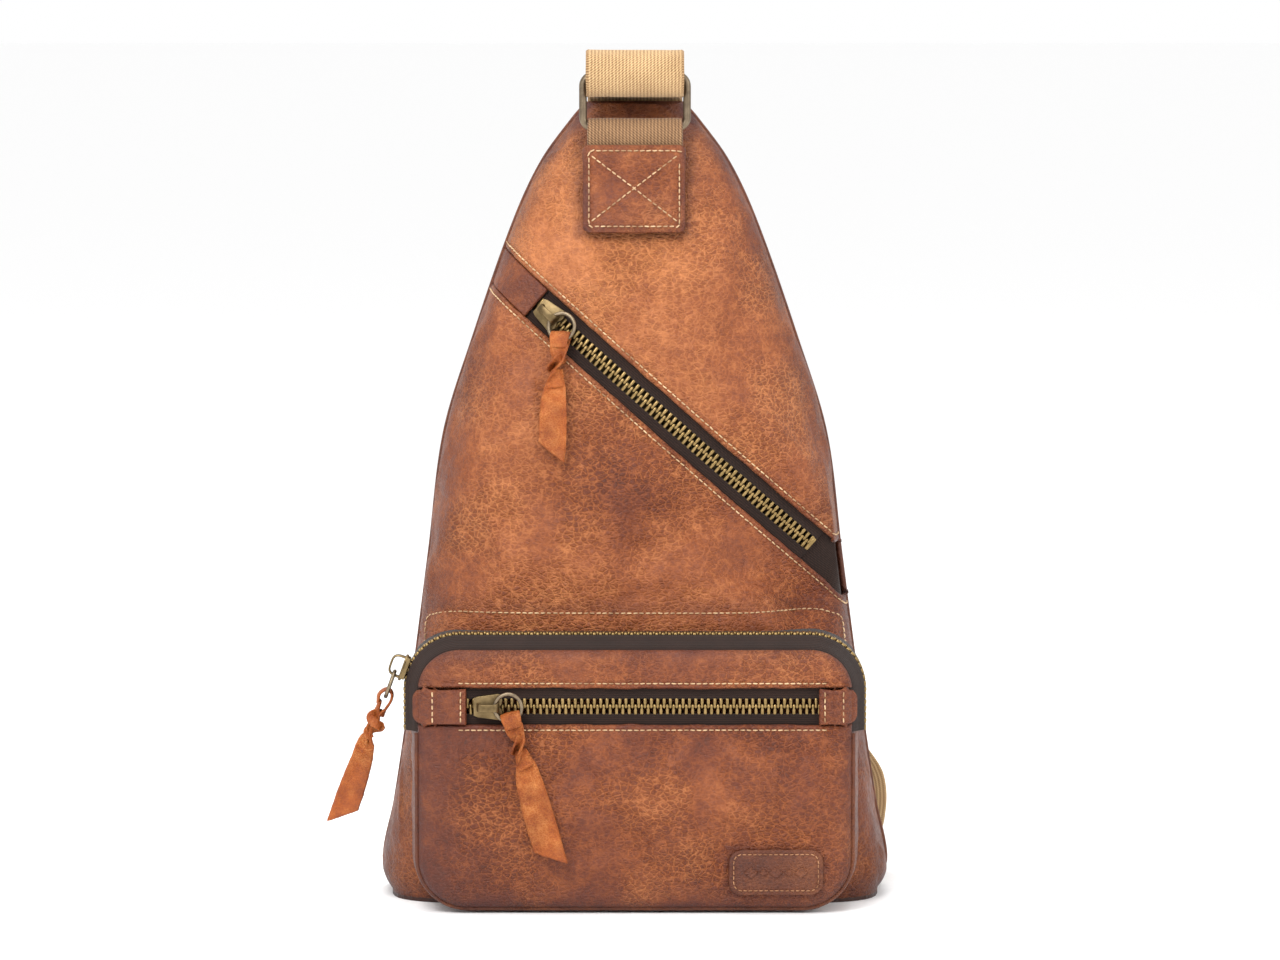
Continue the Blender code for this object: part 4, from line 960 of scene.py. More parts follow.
def tooth_piece(width, reach, thickness):
    """One zip tooth: a shank that grips the tape's cord, a narrow neck and a rounded head that crosses the middle."""
    builder = bmesh.new()
    half = width / 2
    outline = [(-half, reach), (-half, reach * .42), (-half * .72, reach * .22),
        (-half * 1.02, reach * .02),
               (-half * .6, -.95 * MM), (half * .6, -.95 * MM), (half * 1.02, reach * .02),
               (half * .72, reach * .22),
               (half, reach * .42), (half, reach)]
    slab(builder, outline, -thickness / 2, thickness / 2, Matrix.Identity(4), .22 * MM, 1)
    mesh = bpy.data.meshes.new("tooth")
    builder.to_mesh(mesh)
    builder.free()
    fix_facing(mesh, 40)
    return bpy.data.objects.new("tooth", mesh)


def stitches(name, lines, body="root", pitch=3.0 * MM, length=2.45 * MM, radius=.36 * MM,
    colour="cream thread",
             seed=4):
    made = repeat(name, lines, stitch_piece(length, radius), pitch, colour, .09, seed)
    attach(made, body)
    return made




# ---- body ----------------------------------------------------------------------------------------

EDGE = ZIP_WINDOW / 2
FOOT = BASE_THICKNESS + GAP
STITCH_IN = 2.6 * MM
NEAR = [0, .45, .9, 1.5, 2.1, 2.6, 3.1, 3.8, 4.8, 6.2, 8.2]


def sweep_angles(count):
    """Sweep angles that space points evenly round the body's section at mid height."""
    dense = np.linspace(-90, 90, 2401)
    section = np.array([tuple(body_point(a, .30 * BODY_HEIGHT)) for a in dense])
    reach = np.concatenate([[0], np.cumsum(np.linalg.norm(np.diff(section, axis=0), axis=1))])
    return np.interp(np.linspace(0, reach[-1], count), reach, dense)


def arch_gap(x, z):
    """Distance of a place on the front outside the pocket's top arch, measured over the zip band."""
    top = POCKET_TOP - POCKET_TOP_RADIUS
    over_x, over_z = abs(x) - (Pocket.half - POCKET_TOP_RADIUS), z - top
    if over_z < 0:
        return abs(x) - Pocket.half - ARCH_RISE
    return math.hypot(max(over_x, 0), over_z) - POCKET_TOP_RADIUS - ARCH_RISE


def body_relief(place):
    side = zip_offset(place)[1]
    seam = abs(side) - EDGE
    calm = fade(seam, 1.5 * MM, 20 * MM) * fade(place[2], 1 * MM, 22 * MM)
    lift = slack(place, .25 + .75 * calm)
    if seam < 14 * MM:
        lift *= .35 + .65 * fade(seam, 3 * MM, 14 * MM)
        lift -= .42 * MM * math.exp(-((seam - STITCH_IN) / (.75 * MM)) ** 2)
        pull = wave(place, 9 * MM, 11) + .6 * wave(place, 4.5 * MM, 12)
        lift += .30 * MM * pull * math.exp(-max(seam - STITCH_IN, 0) / (5 * MM))
    if side < 0:
        gap = arch_gap(place[0], place[2])
        if -6 * MM < gap < 22 * MM:
            lift -= .5 * MM * math.exp(-((gap - 6.6 * MM) / (.9 * MM)) ** 2)
            lift += .45 * MM * wave(place, 8 * MM, 13) * math.exp(-abs(gap - 7 * MM) / (6 * MM))
    else:
        reach = math.hypot(max(abs(place[0]) - STRAP_WIDTH / 2, 0), max(PATCH_BOTTOM - place[2], 0))
        lift -= 1.0 * MM * (1 - fade(reach, 0, 9 * MM)) * (1 if place[2] > PATCH_BOTTOM - 9 * MM else 0)
    if arch_gap(place[0], place[2]) < 1 * MM and place[2] < POCKET_TOP + ARCH_RISE:
        lift = min(lift, 0.0)
    rear = BACK_Y - place[1]
    return lift * fade(rear, 1 * MM, 10 * MM)


def body_tone(place):
    """Darkness, lightness and coarseness of the hide, by its place on the bag: the darkness is rubbed wear and
    painted shade, and the lightness holds painted highlight and painted shade beside the hide's own tone.
    """
    side = zip_offset(place)[1]
    x, z = place[0], place[2]
    seam = abs(side) - EDGE
    across = abs(x) / half_width(max(z, 1 * MM))
    # Painted shade at the left and right edges, where the front turns away. Along the zip's folded edge the darkening
    # is partly burnish and partly painted shade, where the hide rolls into the zip window.
    wear_and_shade = .55 * fade(across, .80, 1.0) + .55 * math.exp(-max(seam, 0) / (2.2 * MM))
    # Darker towards the bottom, and painted shade at the top under the strap.
    wear_and_shade += .55 * (1 - fade(z, 0, 16 * MM)) + .35 * fade(z, .86 * BODY_HEIGHT, BODY_HEIGHT)
    light = .50 + .06 * wave(place, 45 * MM, 21) + .05 * wave(place, 15 * MM, 22)
    coarse = .75 + .45 * wave(place, 40 * MM, 23)
    if side > 0:
        # Lighter overall above the zip, with a painted highlight on the left and painted shade towards the right, as
        # the key lamp falls.
        light += .12 - .10 * fade(x, 10 * MM, 70 * MM) + .05 * (1 - fade(x, -40 * MM, 0))
        coarse += .25
        # Painted shade round the strap's patch, where the hide dips beside it.
        reach = math.hypot(max(abs(x) - 26 * MM, 0), max(PATCH_BOTTOM - z, 0))
        wear_and_shade += .5 * (1 - fade(reach, 0, 7 * MM)) * fade(z, PATCH_BOTTOM - 8 * MM, PATCH_BOTTOM)
    else:
        # A painted highlight on the left and painted shade towards the right; a darker patch below the zip's middle.
        light += .05 * math.exp(-((x + 45 * MM) / (38 * MM)) ** 2) - .16 * math.exp(
            -((x + 5 * MM) / (45 * MM)) ** 2 - ((z - 205 * MM) / (26 * MM)) ** 2)
        light -= .10 * fade(x, 30 * MM, 90 * MM)
        gap = arch_gap(x, z)
        # Painted shade on the body just outside the pocket's top arch.
        wear_and_shade += .35 * math.exp(-((gap - 9 * MM) / (4 * MM)) ** 2)
    return wear_and_shade, light, max(min(coarse, 1), .15)


def seam_places(side, angles):
    return [body_point(a, seam_height(a, side)) for a in angles]


def body_out(place):
    """Outward direction of the body's front at a place on it."""
    x, z = place[0], place[2]
    step = .5 * MM
    limit = half_width(z) * .995
    left, right = max(x - step, -limit), min(x + step, limit)
    slope_x = (front_depth(right, z) - front_depth(left, z)) / max(right - left, 1e-6)
    slope_z = (front_depth(min(max(x, -limit), limit), z + step)
        - front_depth(min(max(x, -limit), limit), z - step)
               ) / (2 * step)
    return Vector((-slope_x, -1, -slope_z)).normalized()


def body_panel_grid(upper, angles, rows):
    """Fine grid of the front above or below the main zip, with its folded edge rolled under at the zip."""
    sign = 1 if upper else -1
    grid = []
    heights = [[seam_height(a, sign * (EDGE + d * MM)) for a in angles] for d in NEAR]
    for depth_in, line in zip(NEAR, heights):
        roll = 1.5 * MM * (1 - math.sqrt(1 - (1 - min(depth_in / 1.5, 1)) ** 2))
        grid.append([body_point(a, z) - body_out(body_point(a, z)) * roll for a, z in zip(angles, line)])
    for step in range(1, rows + 1):
        share = step / rows
        line = []
        for a, z in zip(angles, heights[-1]):
            if upper:
                share_z = math.sin(math.pi / 2 * share) * .35 + .65 * share
                line.append(body_point(a, z + (BODY_HEIGHT - z) * share_z))
            else:
                line.append(body_point(a, z + (FOOT - z) * share))
        grid.append(line)
    return as_grid(grid)


def forwards(_place):
    return np.array((0, -1, 0))


def make_front_panels(look):
    angles = sweep_angles(150)
    for upper, name, rows in ((True, "front_upper_panel", 92), (False, "front_lower_panel", 118)):
        grid = body_panel_grid(upper, angles, rows)
        normal = facing(grid, forwards)
        loose = np.array([[min(fade(abs(zip_offset(p)[1]) - EDGE, 4 * MM, 16 * MM),
            fade(BACK_Y - p[1], 6 * MM, 22 * MM),
                               fade(p[2], 4 * MM, 26 * MM),
                               1 - fade(p[2], BODY_HEIGHT - 34 * MM, BODY_HEIGHT - 12 * MM),
                               fade(arch_gap(p[0], p[2]), 6 * MM, 20 * MM) if not upper else 1)
                           for p in line] for line in grid])
        if upper:
            beside = np.array([[fade(math.hypot(max(abs(p[0]) - 24 * MM, 0),
                max(PATCH_BOTTOM - p[2], 0)), 1 * MM,
                                     14 * MM) for p in line] for line in grid])
            loose = np.minimum(loose, beside)
        moved = settle(grid, loose, .25, look.slackness, 3.2 * MM, 1.3 * MM)
        grid = relieve(grid + normal * moved[..., None], normal, body_relief)
        made = shell(name + "_hide", grid, normal, LEATHER, "pull-up leather", body_tone)
        seat_piece(made, "root", "leather_shell", name)


def make_left_strip():
    rows = []
    edge = EDGE - 2 * GAP
    for step in range(33):
        share = step / 32
        row = []
        for side in np.linspace(-edge, edge, 17):
            rear = body_point(-90, seam_height(-90, side))
            reach = (rear - MainZip.middle).dot(MainZip.along)
            run = reach + (-MainZip.half - GAP - reach) * share
            flat = MainZip.middle + MainZip.along * run + MainZip.across * side
            depth = max(front_depth(flat.x, flat.z), 1.2 * MM)
            row.append(Vector((flat.x, BACK_Y - depth, flat.z)))
        rows.append(row)
    grid = as_grid(rows)
    normal = facing(grid, forwards)
    grid = relieve(grid, normal, lambda p: .3 * slack(p) - .35 * MM)
    made = shell("zip_end_strip_hide", grid, normal, LEATHER, "pull-up leather",
                 lambda p: (.55, .42 + .1 * wave(p, 12 * MM, 3), .5))
    seat_piece(made, "root", "leather_shell", "zip_left_strip")


def back_relief(x, z):
    """How far the padded back stands out behind: quilted in three pads, tight at its rows of stitches."""
    rim = min(half_width(z) - abs(x), z, BODY_HEIGHT - z)
    full = 1.6 * MM * fade(rim, 2 * MM, 16 * MM)
    for row in (.26, .52, .76):
        full -= 1.2 * MM * math.exp(-((z - row * BODY_HEIGHT) / (3.2 * MM)) ** 2) * fade(rim, 5 * MM,
            12 * MM)
    return full


def make_back():
    rows = []
    for z in np.linspace(1.2 * MM, BODY_HEIGHT, 150):
        width = half_width(z)
        rows.append([Vector((width * s, BACK_Y + 2 * MM, z)) for s in np.linspace(-1, 1, 96)])
    grid = as_grid(rows)
    normal = facing(grid, lambda p: np.array((0, 1, 0)))
    grid = relieve(grid, normal, lambda p: back_relief(p[0], p[2])
                   + .45 * slack((p[0], p[1], p[2])) * fade(half_width(p[2]) - abs(p[0]), 0, 8 * MM))
    made = shell("back_panel_hide", grid, normal, 2 * MM, "back leather",
                 lambda p: (.7 * (1 - fade(half_width(p[2]) - abs(p[0]), 0, 9 * MM))
                 + .3 * (1 - fade(p[2], 0, 30 * MM)),
                            .46 + .12 * wave(p, 40 * MM, 31), .6))
    seat_piece(made, "root", "leather_dark", "back_panel", "back_pad")
    lines = []
    for row in (.26, .52, .76):
        z = row * BODY_HEIGHT
        reach = half_width(z) - 5 * MM
        lines.append([(Vector((x,
            BACK_Y + 2 * MM + back_relief(x, z) + .45 * slack((x, BACK_Y + 2 * MM, z)) + .15 * MM,
                               z)), Vector((0, 1, 0))) for x in np.linspace(-reach, reach, 90)])
    for sign in (-1, 1):
        lines.append([(Vector((sign * (half_width(z) - 4 * MM),
            BACK_Y + 2.0 * MM + back_relief(half_width(z) - 4 * MM, z)
                               + .2 * MM + .22 * slack((sign * (half_width(z) - 4 * MM),
                               BACK_Y + 2 * MM, z)), z)),
                       Vector((0, 1, 0))) for z in np.linspace(8 * MM, BODY_HEIGHT - 4 * MM, 160)])
    stitches("back_stitches", lines, colour="tan thread", pitch=4 * MM, length=3.2 * MM)

    builder = bmesh.new()
    right = [Vector((half_width(z) - .2 * MM, BACK_Y + .35 * MM, z))
        for z in np.linspace(BODY_HEIGHT - 1 * MM, 3 * MM, 130)]
    left = [Vector((-p.x, p.y, p.z)) for p in reversed(right)]
    tube(builder, left + right, 1.5 * MM, 10)
    welt = mesh_of("back_seam_welt", builder, "burnished leather", 60)
    seat_piece(welt, "root", "leather_dark")

    outline = [body_point(a, FOOT) for a in sweep_angles(90)]
    rows = []
    for inset, z in ((0, FOOT - .2 * MM), (.35 * MM, 1.2 * MM), (1.2 * MM, .35 * MM), (2.4 * MM, 0),
        (12 * MM, 0),
                     (40 * MM, 0), (66 * MM, .2 * MM)):
        row = []
        for p in outline:
            centre = Vector((p.x * .5, BACK_Y - 4 * MM, 0))
            toward = Vector((centre.x - p.x, centre.y - p.y, 0))
            reach = toward.length
            toward = toward / reach if reach > 1e-6 else Vector((0, 1, 0))
            row.append(Vector((p.x, p.y, z)) + toward * min(inset, reach * .98))
        rows.append(row)
    grid = as_grid(rows)
    normal = facing(grid, lambda p: np.array((0, 0, -1)))
    made = shell("base_panel_hide", grid, normal, 1.6 * MM, "burnished leather")
    made.data.validate()
    seat_piece(made, "root", "leather_dark")


def make_seam_stitches(look):
    """The rows of stitches beside the main zip, over the whole width of the bag, and over the pocket."""
    angles = sweep_angles(150)
    lines = []
    for side in (EDGE + STITCH_IN, -EDGE - STITCH_IN):
        places = [p for p in seam_places(side, angles) if BACK_Y - p.y > 5 * MM]
        lines.append([(p + body_out(p) * (body_relief(p) + .34 * MM), body_out(p)) for p in places])
    stitches("main_zip_stitches", lines, pitch=look.stitch_pitch)
    places = []
    for (x, z), (nx, nz) in Pocket.top_path(3 * MM):
        out = ARCH_RISE + 6.6 * MM
        at_x, at_z = x + nx * out, z + nz * out
        limit = half_width(at_z) * .962
        at_x = min(max(at_x, -limit), limit)
        if at_z > 97 * MM:
            places.append(Vector((at_x, BACK_Y - front_depth(at_x, at_z), at_z)))
    line = [(p + body_out(p) * (body_relief(p) + .34 * MM), body_out(p)) for p in places]
    stitches("pocket_band_stitches", [line], pitch=look.stitch_pitch)


# ---- zips ----------------------------------------------------------------------------------------

def tape_grid(point, runs, inner, outer, sign, wavy):
    """A zip tape: a corded edge beside the teeth, then a flat weave that runs in under the leather."""
    sides = [inner, inner + .5 * MM, inner + 1.1 * MM, inner + 1.7 * MM, inner + 2.5 * MM,
        (inner + outer) / 2, outer]
    sinks = [TAPE_SINK - .1 * MM, TAPE_SINK - .65 * MM, TAPE_SINK - .6 * MM, TAPE_SINK - .1 * MM, TAPE_SINK,
             TAPE_SINK + .05 * MM, TAPE_SINK + .1 * MM]
    rows = []
    for run in runs:
        sag = wavy * wave((run, 0, sign), 26 * MM, 8)
        rows.append([point(run, sign * s, k + sag) for s, k in zip(sides, sinks)])
    return as_grid(rows)


def make_tape(name, grid, outward, node_name):
    normal = facing(grid, outward)
    made = shell(name, grid, normal, TAPE_THICKNESS * .8, "polyester zip tape")
    seat_piece(made, "root", "zip_tape", node_name)


def make_teeth(name, lines, node_names, size=(1.5, 3.9, 2.5), pitch=3.0):
    width, reach, thick = (v * MM for v in size)
    made = repeat(name, lines, tooth_piece(width, reach, thick), pitch * MM, "antique brass teeth", .02, 9)
    seat_piece(made, "root", "teeth", *node_names)


def zip_lines(point, out, low, high, pitch, sink):
    """Lines for the two rows of teeth: the second runs the other way, half a tooth along."""
    count = int((high - low) / pitch)
    first = [(point(low + k * pitch, 0, sink), out(low + k * pitch)) for k in range(count + 1)]
    second = [(point(low + (k + .5) * pitch, 0, sink), out(low + (k + .5) * pitch)) for k in range(count)]
    return [first, second[::-1]]


def make_main_zip():
    low, high = -MainZip.half + GAP, MainZip.half - GAP - EDGE - TAPE_HEM - ZIP_TAIL_EASE
    runs = np.linspace(low, high, 90)
    for name, sign in (("upper", 1), ("lower", -1)):
        grid = tape_grid(MainZip.point, runs, TOOTH_ROW_WIDTH - .5 * MM, EDGE + 2.0 * MM, sign, .12 * MM)
        make_tape(f"main_zip_tape_{name}_weave", grid, forwards, f"main_zip_tape_{name}")
    sink = TAPE_SINK + TAPE_THICKNESS / 2
    lines = zip_lines(MainZip.point, MainZip.normal, low + 1 * MM, high - 2 * MM, 3 * MM, sink)
    make_teeth("main_zip_teeth", lines, ("main_zip_teeth_upper", "main_zip_teeth_lower"))
    rows = []
    for share in np.linspace(0, 1, 26):
        row = []
        for side in np.linspace(-EDGE - 2 * MM, EDGE + 2 * MM, 9):
            reach = (body_point(90, seam_height(90, side)) - MainZip.middle).dot(MainZip.along) - 4 * MM
            flat = MainZip.middle + MainZip.along * (high - 3 * MM + (reach - high + 3 * MM) * share)
            flat += MainZip.across * side
            row.append(Vector((flat.x, BACK_Y - max(front_depth(flat.x, flat.z) - 4 * MM, 1.2 * MM),
                flat.z)))
        rows.append(row)
    for share in np.linspace(0, 1, 10)[1:]:
        rows.append([Vector((p.x + .6 * MM * share, p.y + (BACK_Y - 1.2 * MM - p.y) * share, p.z))
            for p in row])
    grid = as_grid(rows)
    end = shell("main_zip_tape_end", grid, facing(grid, forwards), .7 * MM, "polyester zip tape")
    seat_piece(end, "root", "zip_tape")
    builder = bmesh.new()
    run = high - 1.2 * MM
    place = frame_at(MainZip.point(run, 0, TAPE_SINK + .4 * MM), MainZip.along, MainZip.across,
        MainZip.normal(run))
    slab(builder, [(-1 * MM, -3.6 * MM), (1 * MM, -3.6 * MM), (1 * MM, 3.6 * MM), (-1 * MM, 3.6 * MM)],
        -1.5 * MM, 1.5 * MM,
         place, .5 * MM)
    stop = mesh_of("main_zip_bottom_stop", builder, "antique brass teeth")
    seat_piece(stop, "root", "teeth")


def pocket_zip_point(run, side, sink):
    return Vector((run, BACK_Y - Pocket.zip_depth + sink, POCKET_ZIP_HEIGHT + side))


def make_pocket_zip():
    low, high = -Pocket.half * .78 - 3 * MM, Pocket.half * .852 + 3 * MM
    for name, sign in (("upper", 1), ("lower", -1)):
        grid = tape_grid(pocket_zip_point, np.linspace(low, high, 80), TOOTH_ROW_WIDTH - .5 * MM,
            EDGE + 2.0 * MM, sign,
                         .1 * MM)
        make_tape(f"pocket_zip_tape_{name}_weave", grid, forwards, f"pocket_zip_tape_{name}")
    lines = zip_lines(pocket_zip_point, lambda run: Vector((0, -1, 0)), low + 1 * MM, high - 1 * MM, 3 * MM,
                      TAPE_SINK + TAPE_THICKNESS / 2)
    make_teeth("pocket_zip_teeth", lines, ("pocket_zip_teeth_upper", "pocket_zip_teeth_lower"))


def outwards(place):
    return np.array((place[0], 0, place[2] - Pocket.middle_z))


def make_band_zip():
    """The zip round the pocket's top: two bands of tape with the teeth between them."""
    path = Pocket.top_path(2 * MM)
    tooth_back = 13.5 * MM
    rows = [[arch_point(e, b * MM, -TAPE_SINK + .8 * MM + lift * MM) for b, lift in
             ((.6, -.6), (1.4, .2), (3, .25), (5, .1), (7, .1), (8.2, .7), (9.2, .8), (9.9, .2))]
             for e in path]
    make_tape("band_zip_tape_front_weave", as_grid(rows), outwards, "gusset_zip_tape_front")
    rows = []
    for e in path:
        reach = rear_reach(e, ARCH_RISE)
        start = tooth_back + TOOTH_ROW_WIDTH - .4 * MM
        rows.append([arch_point(e, start + (reach - start) * s, -TAPE_SINK + .8 * MM + lift * MM)
                     for s, lift in ((0, .2), (.12, .8), (.25, .7), (.4, .1), (.7, 0), (1, 0))])
    make_tape("band_zip_tape_back_weave", as_grid(rows), outwards, "gusset_zip_tape_back")
    out = -TAPE_SINK + .4 * MM

    def line_at(entries):
        made = []
        for e in entries:
            nx, nz = e[1]
            made.append((arch_point(e, tooth_back, out), Vector((nx, 0, nz))))
        return made

    fine = Pocket.top_path(1.5 * MM)
    lines = [line_at(fine), line_at(fine[1:-1])[::-1]]
    make_teeth("band_zip_teeth", lines, ("gusset_zip_teeth_front", "gusset_zip_teeth_back"))


# ---- pocket --------------------------------------------------------------------------------------

def pocket_relief(place):
    x, z = place[0], place[2]
    rim = Pocket.rim_distance(x, z)
    seam = abs(z - POCKET_ZIP_HEIGHT) - EDGE
    near_zip = abs(x) < Pocket.half * .9
    calm = fade(rim, 2 * MM, 22 * MM)
    lift = slack((x, place[1] + .3, z), .35 + 1.0 * calm)
    bent = (x + .35 * z, .2, z * 1.9 - .5 * x)
    lift += calm * (.9 * MM * crease(bent, 52 * MM, 15) + .7 * MM * wave(bent, 30 * MM, 16))
    if near_zip and seam < 14 * MM:
        lift *= .25 + .75 * fade(seam, 2 * MM, 14 * MM)
        lift -= .4 * MM * math.exp(-((seam - STITCH_IN) / (.75 * MM)) ** 2)
        lift += .5 * MM * wave((x, 0, 0), 8 * MM, 14) * math.exp(-max(seam - STITCH_IN, 0) / (6 * MM))
    tab = fade(abs(x), Pocket.half * .76, Pocket.half * .8) * (1 - fade(abs(z - POCKET_ZIP_HEIGHT),
        8 * MM, 11 * MM))
    lift = lift * (1 - tab) - .3 * MM * tab
    side = abs(x - 68 * MM)
    label = (1 - fade(side, 22 * MM, 26 * MM)) * (1 - fade(abs(z - 21 * MM), 11 * MM, 14 * MM))
    return lift * (1 - label) * fade(rim, -.5 * MM, 3 * MM) - .15 * MM * label


def pocket_tone(place):
    x, z = place[0], place[2]
    rim = Pocket.rim_distance(x, z)
    # Painted shade at the pocket's rounded rim; darker on its left side and towards the bottom.
    wear_and_shade = .75 * math.exp(-max(rim, 0) / (5 * MM)) + .3 * fade(-x, 55 * MM,
        95 * MM) + .3 * (1 - fade(z, 4 * MM, 26 * MM))
    # A painted highlight on the pocket's belly.
    light = .38 + .09 * wave(place, 40 * MM, 41) + .06 * wave(place, 13 * MM, 42) + .10 * math.exp(
        -((x - 20 * MM) / (45 * MM)) ** 2 - ((z - 58 * MM) / (26 * MM)) ** 2)
    if z > POCKET_ZIP_HEIGHT:
        light += .10
    seam = abs(z - POCKET_ZIP_HEIGHT) - EDGE
    if abs(x) < Pocket.half * .88 and seam < 8 * MM:
        # Darker along the zip, partly burnish and partly painted shade where the hide folds into the zip window.
        wear_and_shade += .5 * math.exp(-max(seam, 0) / (2 * MM))
    # Painted shade round the raised label.
    near = math.hypot(max(abs(x - 68 * MM) - 22 * MM, 0), max(abs(z - 21 * MM) - 11 * MM, 0))
    wear_and_shade += .4 * (1 - fade(near, 0, 5 * MM))
    return wear_and_shade, light, max(min(.8 + .4 * wave(place, 35 * MM, 43), 1), .3)


def make_pocket_front(look):
    across = np.sin(np.linspace(-math.pi / 2, math.pi / 2, 132) * .80) / math.sin(math.pi / 2 * .80)
    near = [d * MM for d in NEAR]
    low = POCKET_ZIP_HEIGHT - EDGE
    rows = [low - d for d in near] + list(np.linspace(low - near[-1], POCKET_BOTTOM + 12 * MM, 50)[1:])
    rows += [POCKET_BOTTOM + 12 * MM * (1 - math.sin(t)) for t in np.linspace(0, math.pi / 2, 16)[1:]]
    high = POCKET_ZIP_HEIGHT + EDGE
    top = [high + d for d in near] + list(np.linspace(high + near[-1], POCKET_TOP - 4 * MM, 8)[1:])
    top += [POCKET_TOP - 4 * MM * (1 - math.sin(t)) for t in np.linspace(0, math.pi / 2, 9)[1:]]
    for name, heights in (("pocket_lower_panel", rows), ("pocket_upper_panel", top)):
        built = []
        for z in heights:
            deep = 1.5 * MM * (1 - math.sqrt(1 - (1 - min(abs(z - heights[0]) / (1.5 * MM), 1)) ** 2))
            built.append([Pocket.face(Pocket.side(z) * s, z, -deep) for s in across])
        grid = as_grid(built)
        normal = facing(grid, forwards)
        loose = np.array([[min(fade(Pocket.rim_distance(p[0], p[2]), 3 * MM, 15 * MM),
                               fade(abs(p[2] - POCKET_ZIP_HEIGHT) - EDGE, 4 * MM, 16 * MM),
                               fade(math.hypot(max(abs(p[0] - 68 * MM) - 22 * MM, 0),
                                               max(abs(p[2] - 21 * MM) - 11 * MM, 0)), 2 * MM, 12 * MM))
                           for p in line] for line in grid])
        moved = settle(grid, loose, 1.2, look.slackness, 3.5 * MM,
            1.0 * MM) if name == "pocket_lower_panel" else 0 * loose
        grid = relieve(grid + normal * moved[..., None], normal, pocket_relief)
        made = shell(name + "_hide", grid, normal, LEATHER, "pull-up leather", pocket_tone)
        seat_piece(made, "root", "leather_shell", name)


def make_pocket_sides():
    rows = []
    for entry in Pocket.foot_path(2 * MM):
        (x, z), (nx, nz) = entry
        flare = GUSSET_FLARE * (.2 + .8 * fade(nz, -.95, -.3))
        reach = rear_reach(entry, flare)
        start = .9 * MM
        row = []
        for s in np.linspace(0, 1, 20):
            puff = 1.1 * MM * math.sin(math.pi * s) * (1 if nz > -.8
                else .3) - .5 * MM * math.exp(-((s - .05) / .04) ** 2)
            place = Vector((x, BACK_Y - Pocket.edge_depth + start + (reach - start) * s, z))
            fold = .8 * MM * wave((place.x, place.y * .5, place.z), 13 * MM, 51) * math.sin(math.pi * s)
            out = flare * s + puff + (fold if nz > -.6 else fold * .3)
            spot = Vector((x + nx * out, place.y, z + nz * out))
            spot.z = max(spot.z, .4 * MM)
            row.append(spot)
        rows.append(row)
    grid = as_grid(rows)
    normal = facing(grid, outwards)
    # The side's tone: darker towards the bottom, and painted shade at the rear where it tucks against the body.
    made = shell("pocket_gusset_hide", grid, normal, 1.5 * MM, "pull-up leather",
                 lambda p: (.45 + .5 * (1 - fade(p[2], 0, 18 * MM))
                 + .3 * (1 - fade(BACK_Y - p[1], 68 * MM, 74 * MM)),
                            .36 + .14 * wave(p, 22 * MM, 52), .7))
    seat_piece(made, "root", "leather_shell", "pocket_gusset")

    builder = bmesh.new()
    line = []
    for (x, z), (nx, nz) in Pocket.foot_path(2 * MM):
        line.append(Vector((x + nx * .5 * MM, BACK_Y - Pocket.edge_depth + .5 * MM,
            max(z + nz * .5 * MM, 1.6 * MM))))
    tube(builder, line, 1.25 * MM, 10)
    welt = mesh_of("pocket_welt", builder, "burnished leather", 60)
    seat_piece(welt, "root", "leather_dark")


def rounded_loop(half_x, half_z, radius, steps=10):
    """A closed rectangle outline with round corners."""
    made = []
    for cx, cz, start in ((1, 1, 0), (-1, 1, 90), (-1, -1, 180), (1, -1, 270)):
        for step in range(steps + 1):
            turn = math.radians(start + 90 * step / steps)
            made.append((cx * (half_x - radius) + radius * math.cos(turn),
                         cz * (half_z - radius) + radius * math.sin(turn)))
    return made


def patch_shell(name, centre, width, height, radius, surface, thickness, material, tone,
    sides=(True, True)):
    """A rounded leather piece laid on a surface: surface(x, z, out) gives its places. sides says which ends are round."""
    rows = []
    half_w, half_h = width / 2, height / 2
    for v in np.sin(np.linspace(-1, 1, 22) * math.pi / 2 * .85) / math.sin(math.pi / 2 * .85):
        z = v * half_h
        over = max(abs(z) - (half_h - radius), 0)
        cut = radius - math.sqrt(max(radius * radius - over * over, 0))
        left = -half_w + (cut if sides[0] else 0)
        right = half_w - (cut if sides[1] else 0)
        row = []
        for u in np.sin(np.linspace(-1, 1, 40) * math.pi / 2 * .85) / math.sin(math.pi / 2 * .85):
            x = left + (right - left) * (u + 1) / 2
            rim = min(x - left, right - x, half_h - abs(z))
            groove = -.3 * MM * math.exp(-((rim - 2.1 * MM) / (.6 * MM)) ** 2)
            crown = .35 * MM * fade(rim, 0, 1.4 * MM) + .2 * MM * fade(rim, 2.4 * MM, 6 * MM)
            row.append(surface(centre[0] + x, centre[1] + z, thickness + groove + crown
                               + .12 * MM * wave((x, z, 0), 6 * MM, 61)))
        rows.append(row)
    grid = as_grid(rows)
    made = shell(name, grid, facing(grid, forwards), thickness + .5 * MM, material, tone)
    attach(made, "root")
    return made


def inset_line(centre, width, height, radius, inset, surface, out):
    """A stitch line inside a rounded leather piece's edge."""
    outline = rounded_loop(width / 2 - inset, height / 2 - inset, max(radius - inset, .3 * MM), 6)
    outline = outline + outline[:1]
    made = []
    for (x0, z0), (x1, z1) in zip(outline, outline[1:]):
        for s in np.linspace(0, 1, 6)[:-1]:
            x, z = x0 + (x1 - x0) * s, z0 + (z1 - z0) * s
            made.append((surface(centre[0] + x, centre[1] + z, out), Vector((0, -1, 0))))
    return made


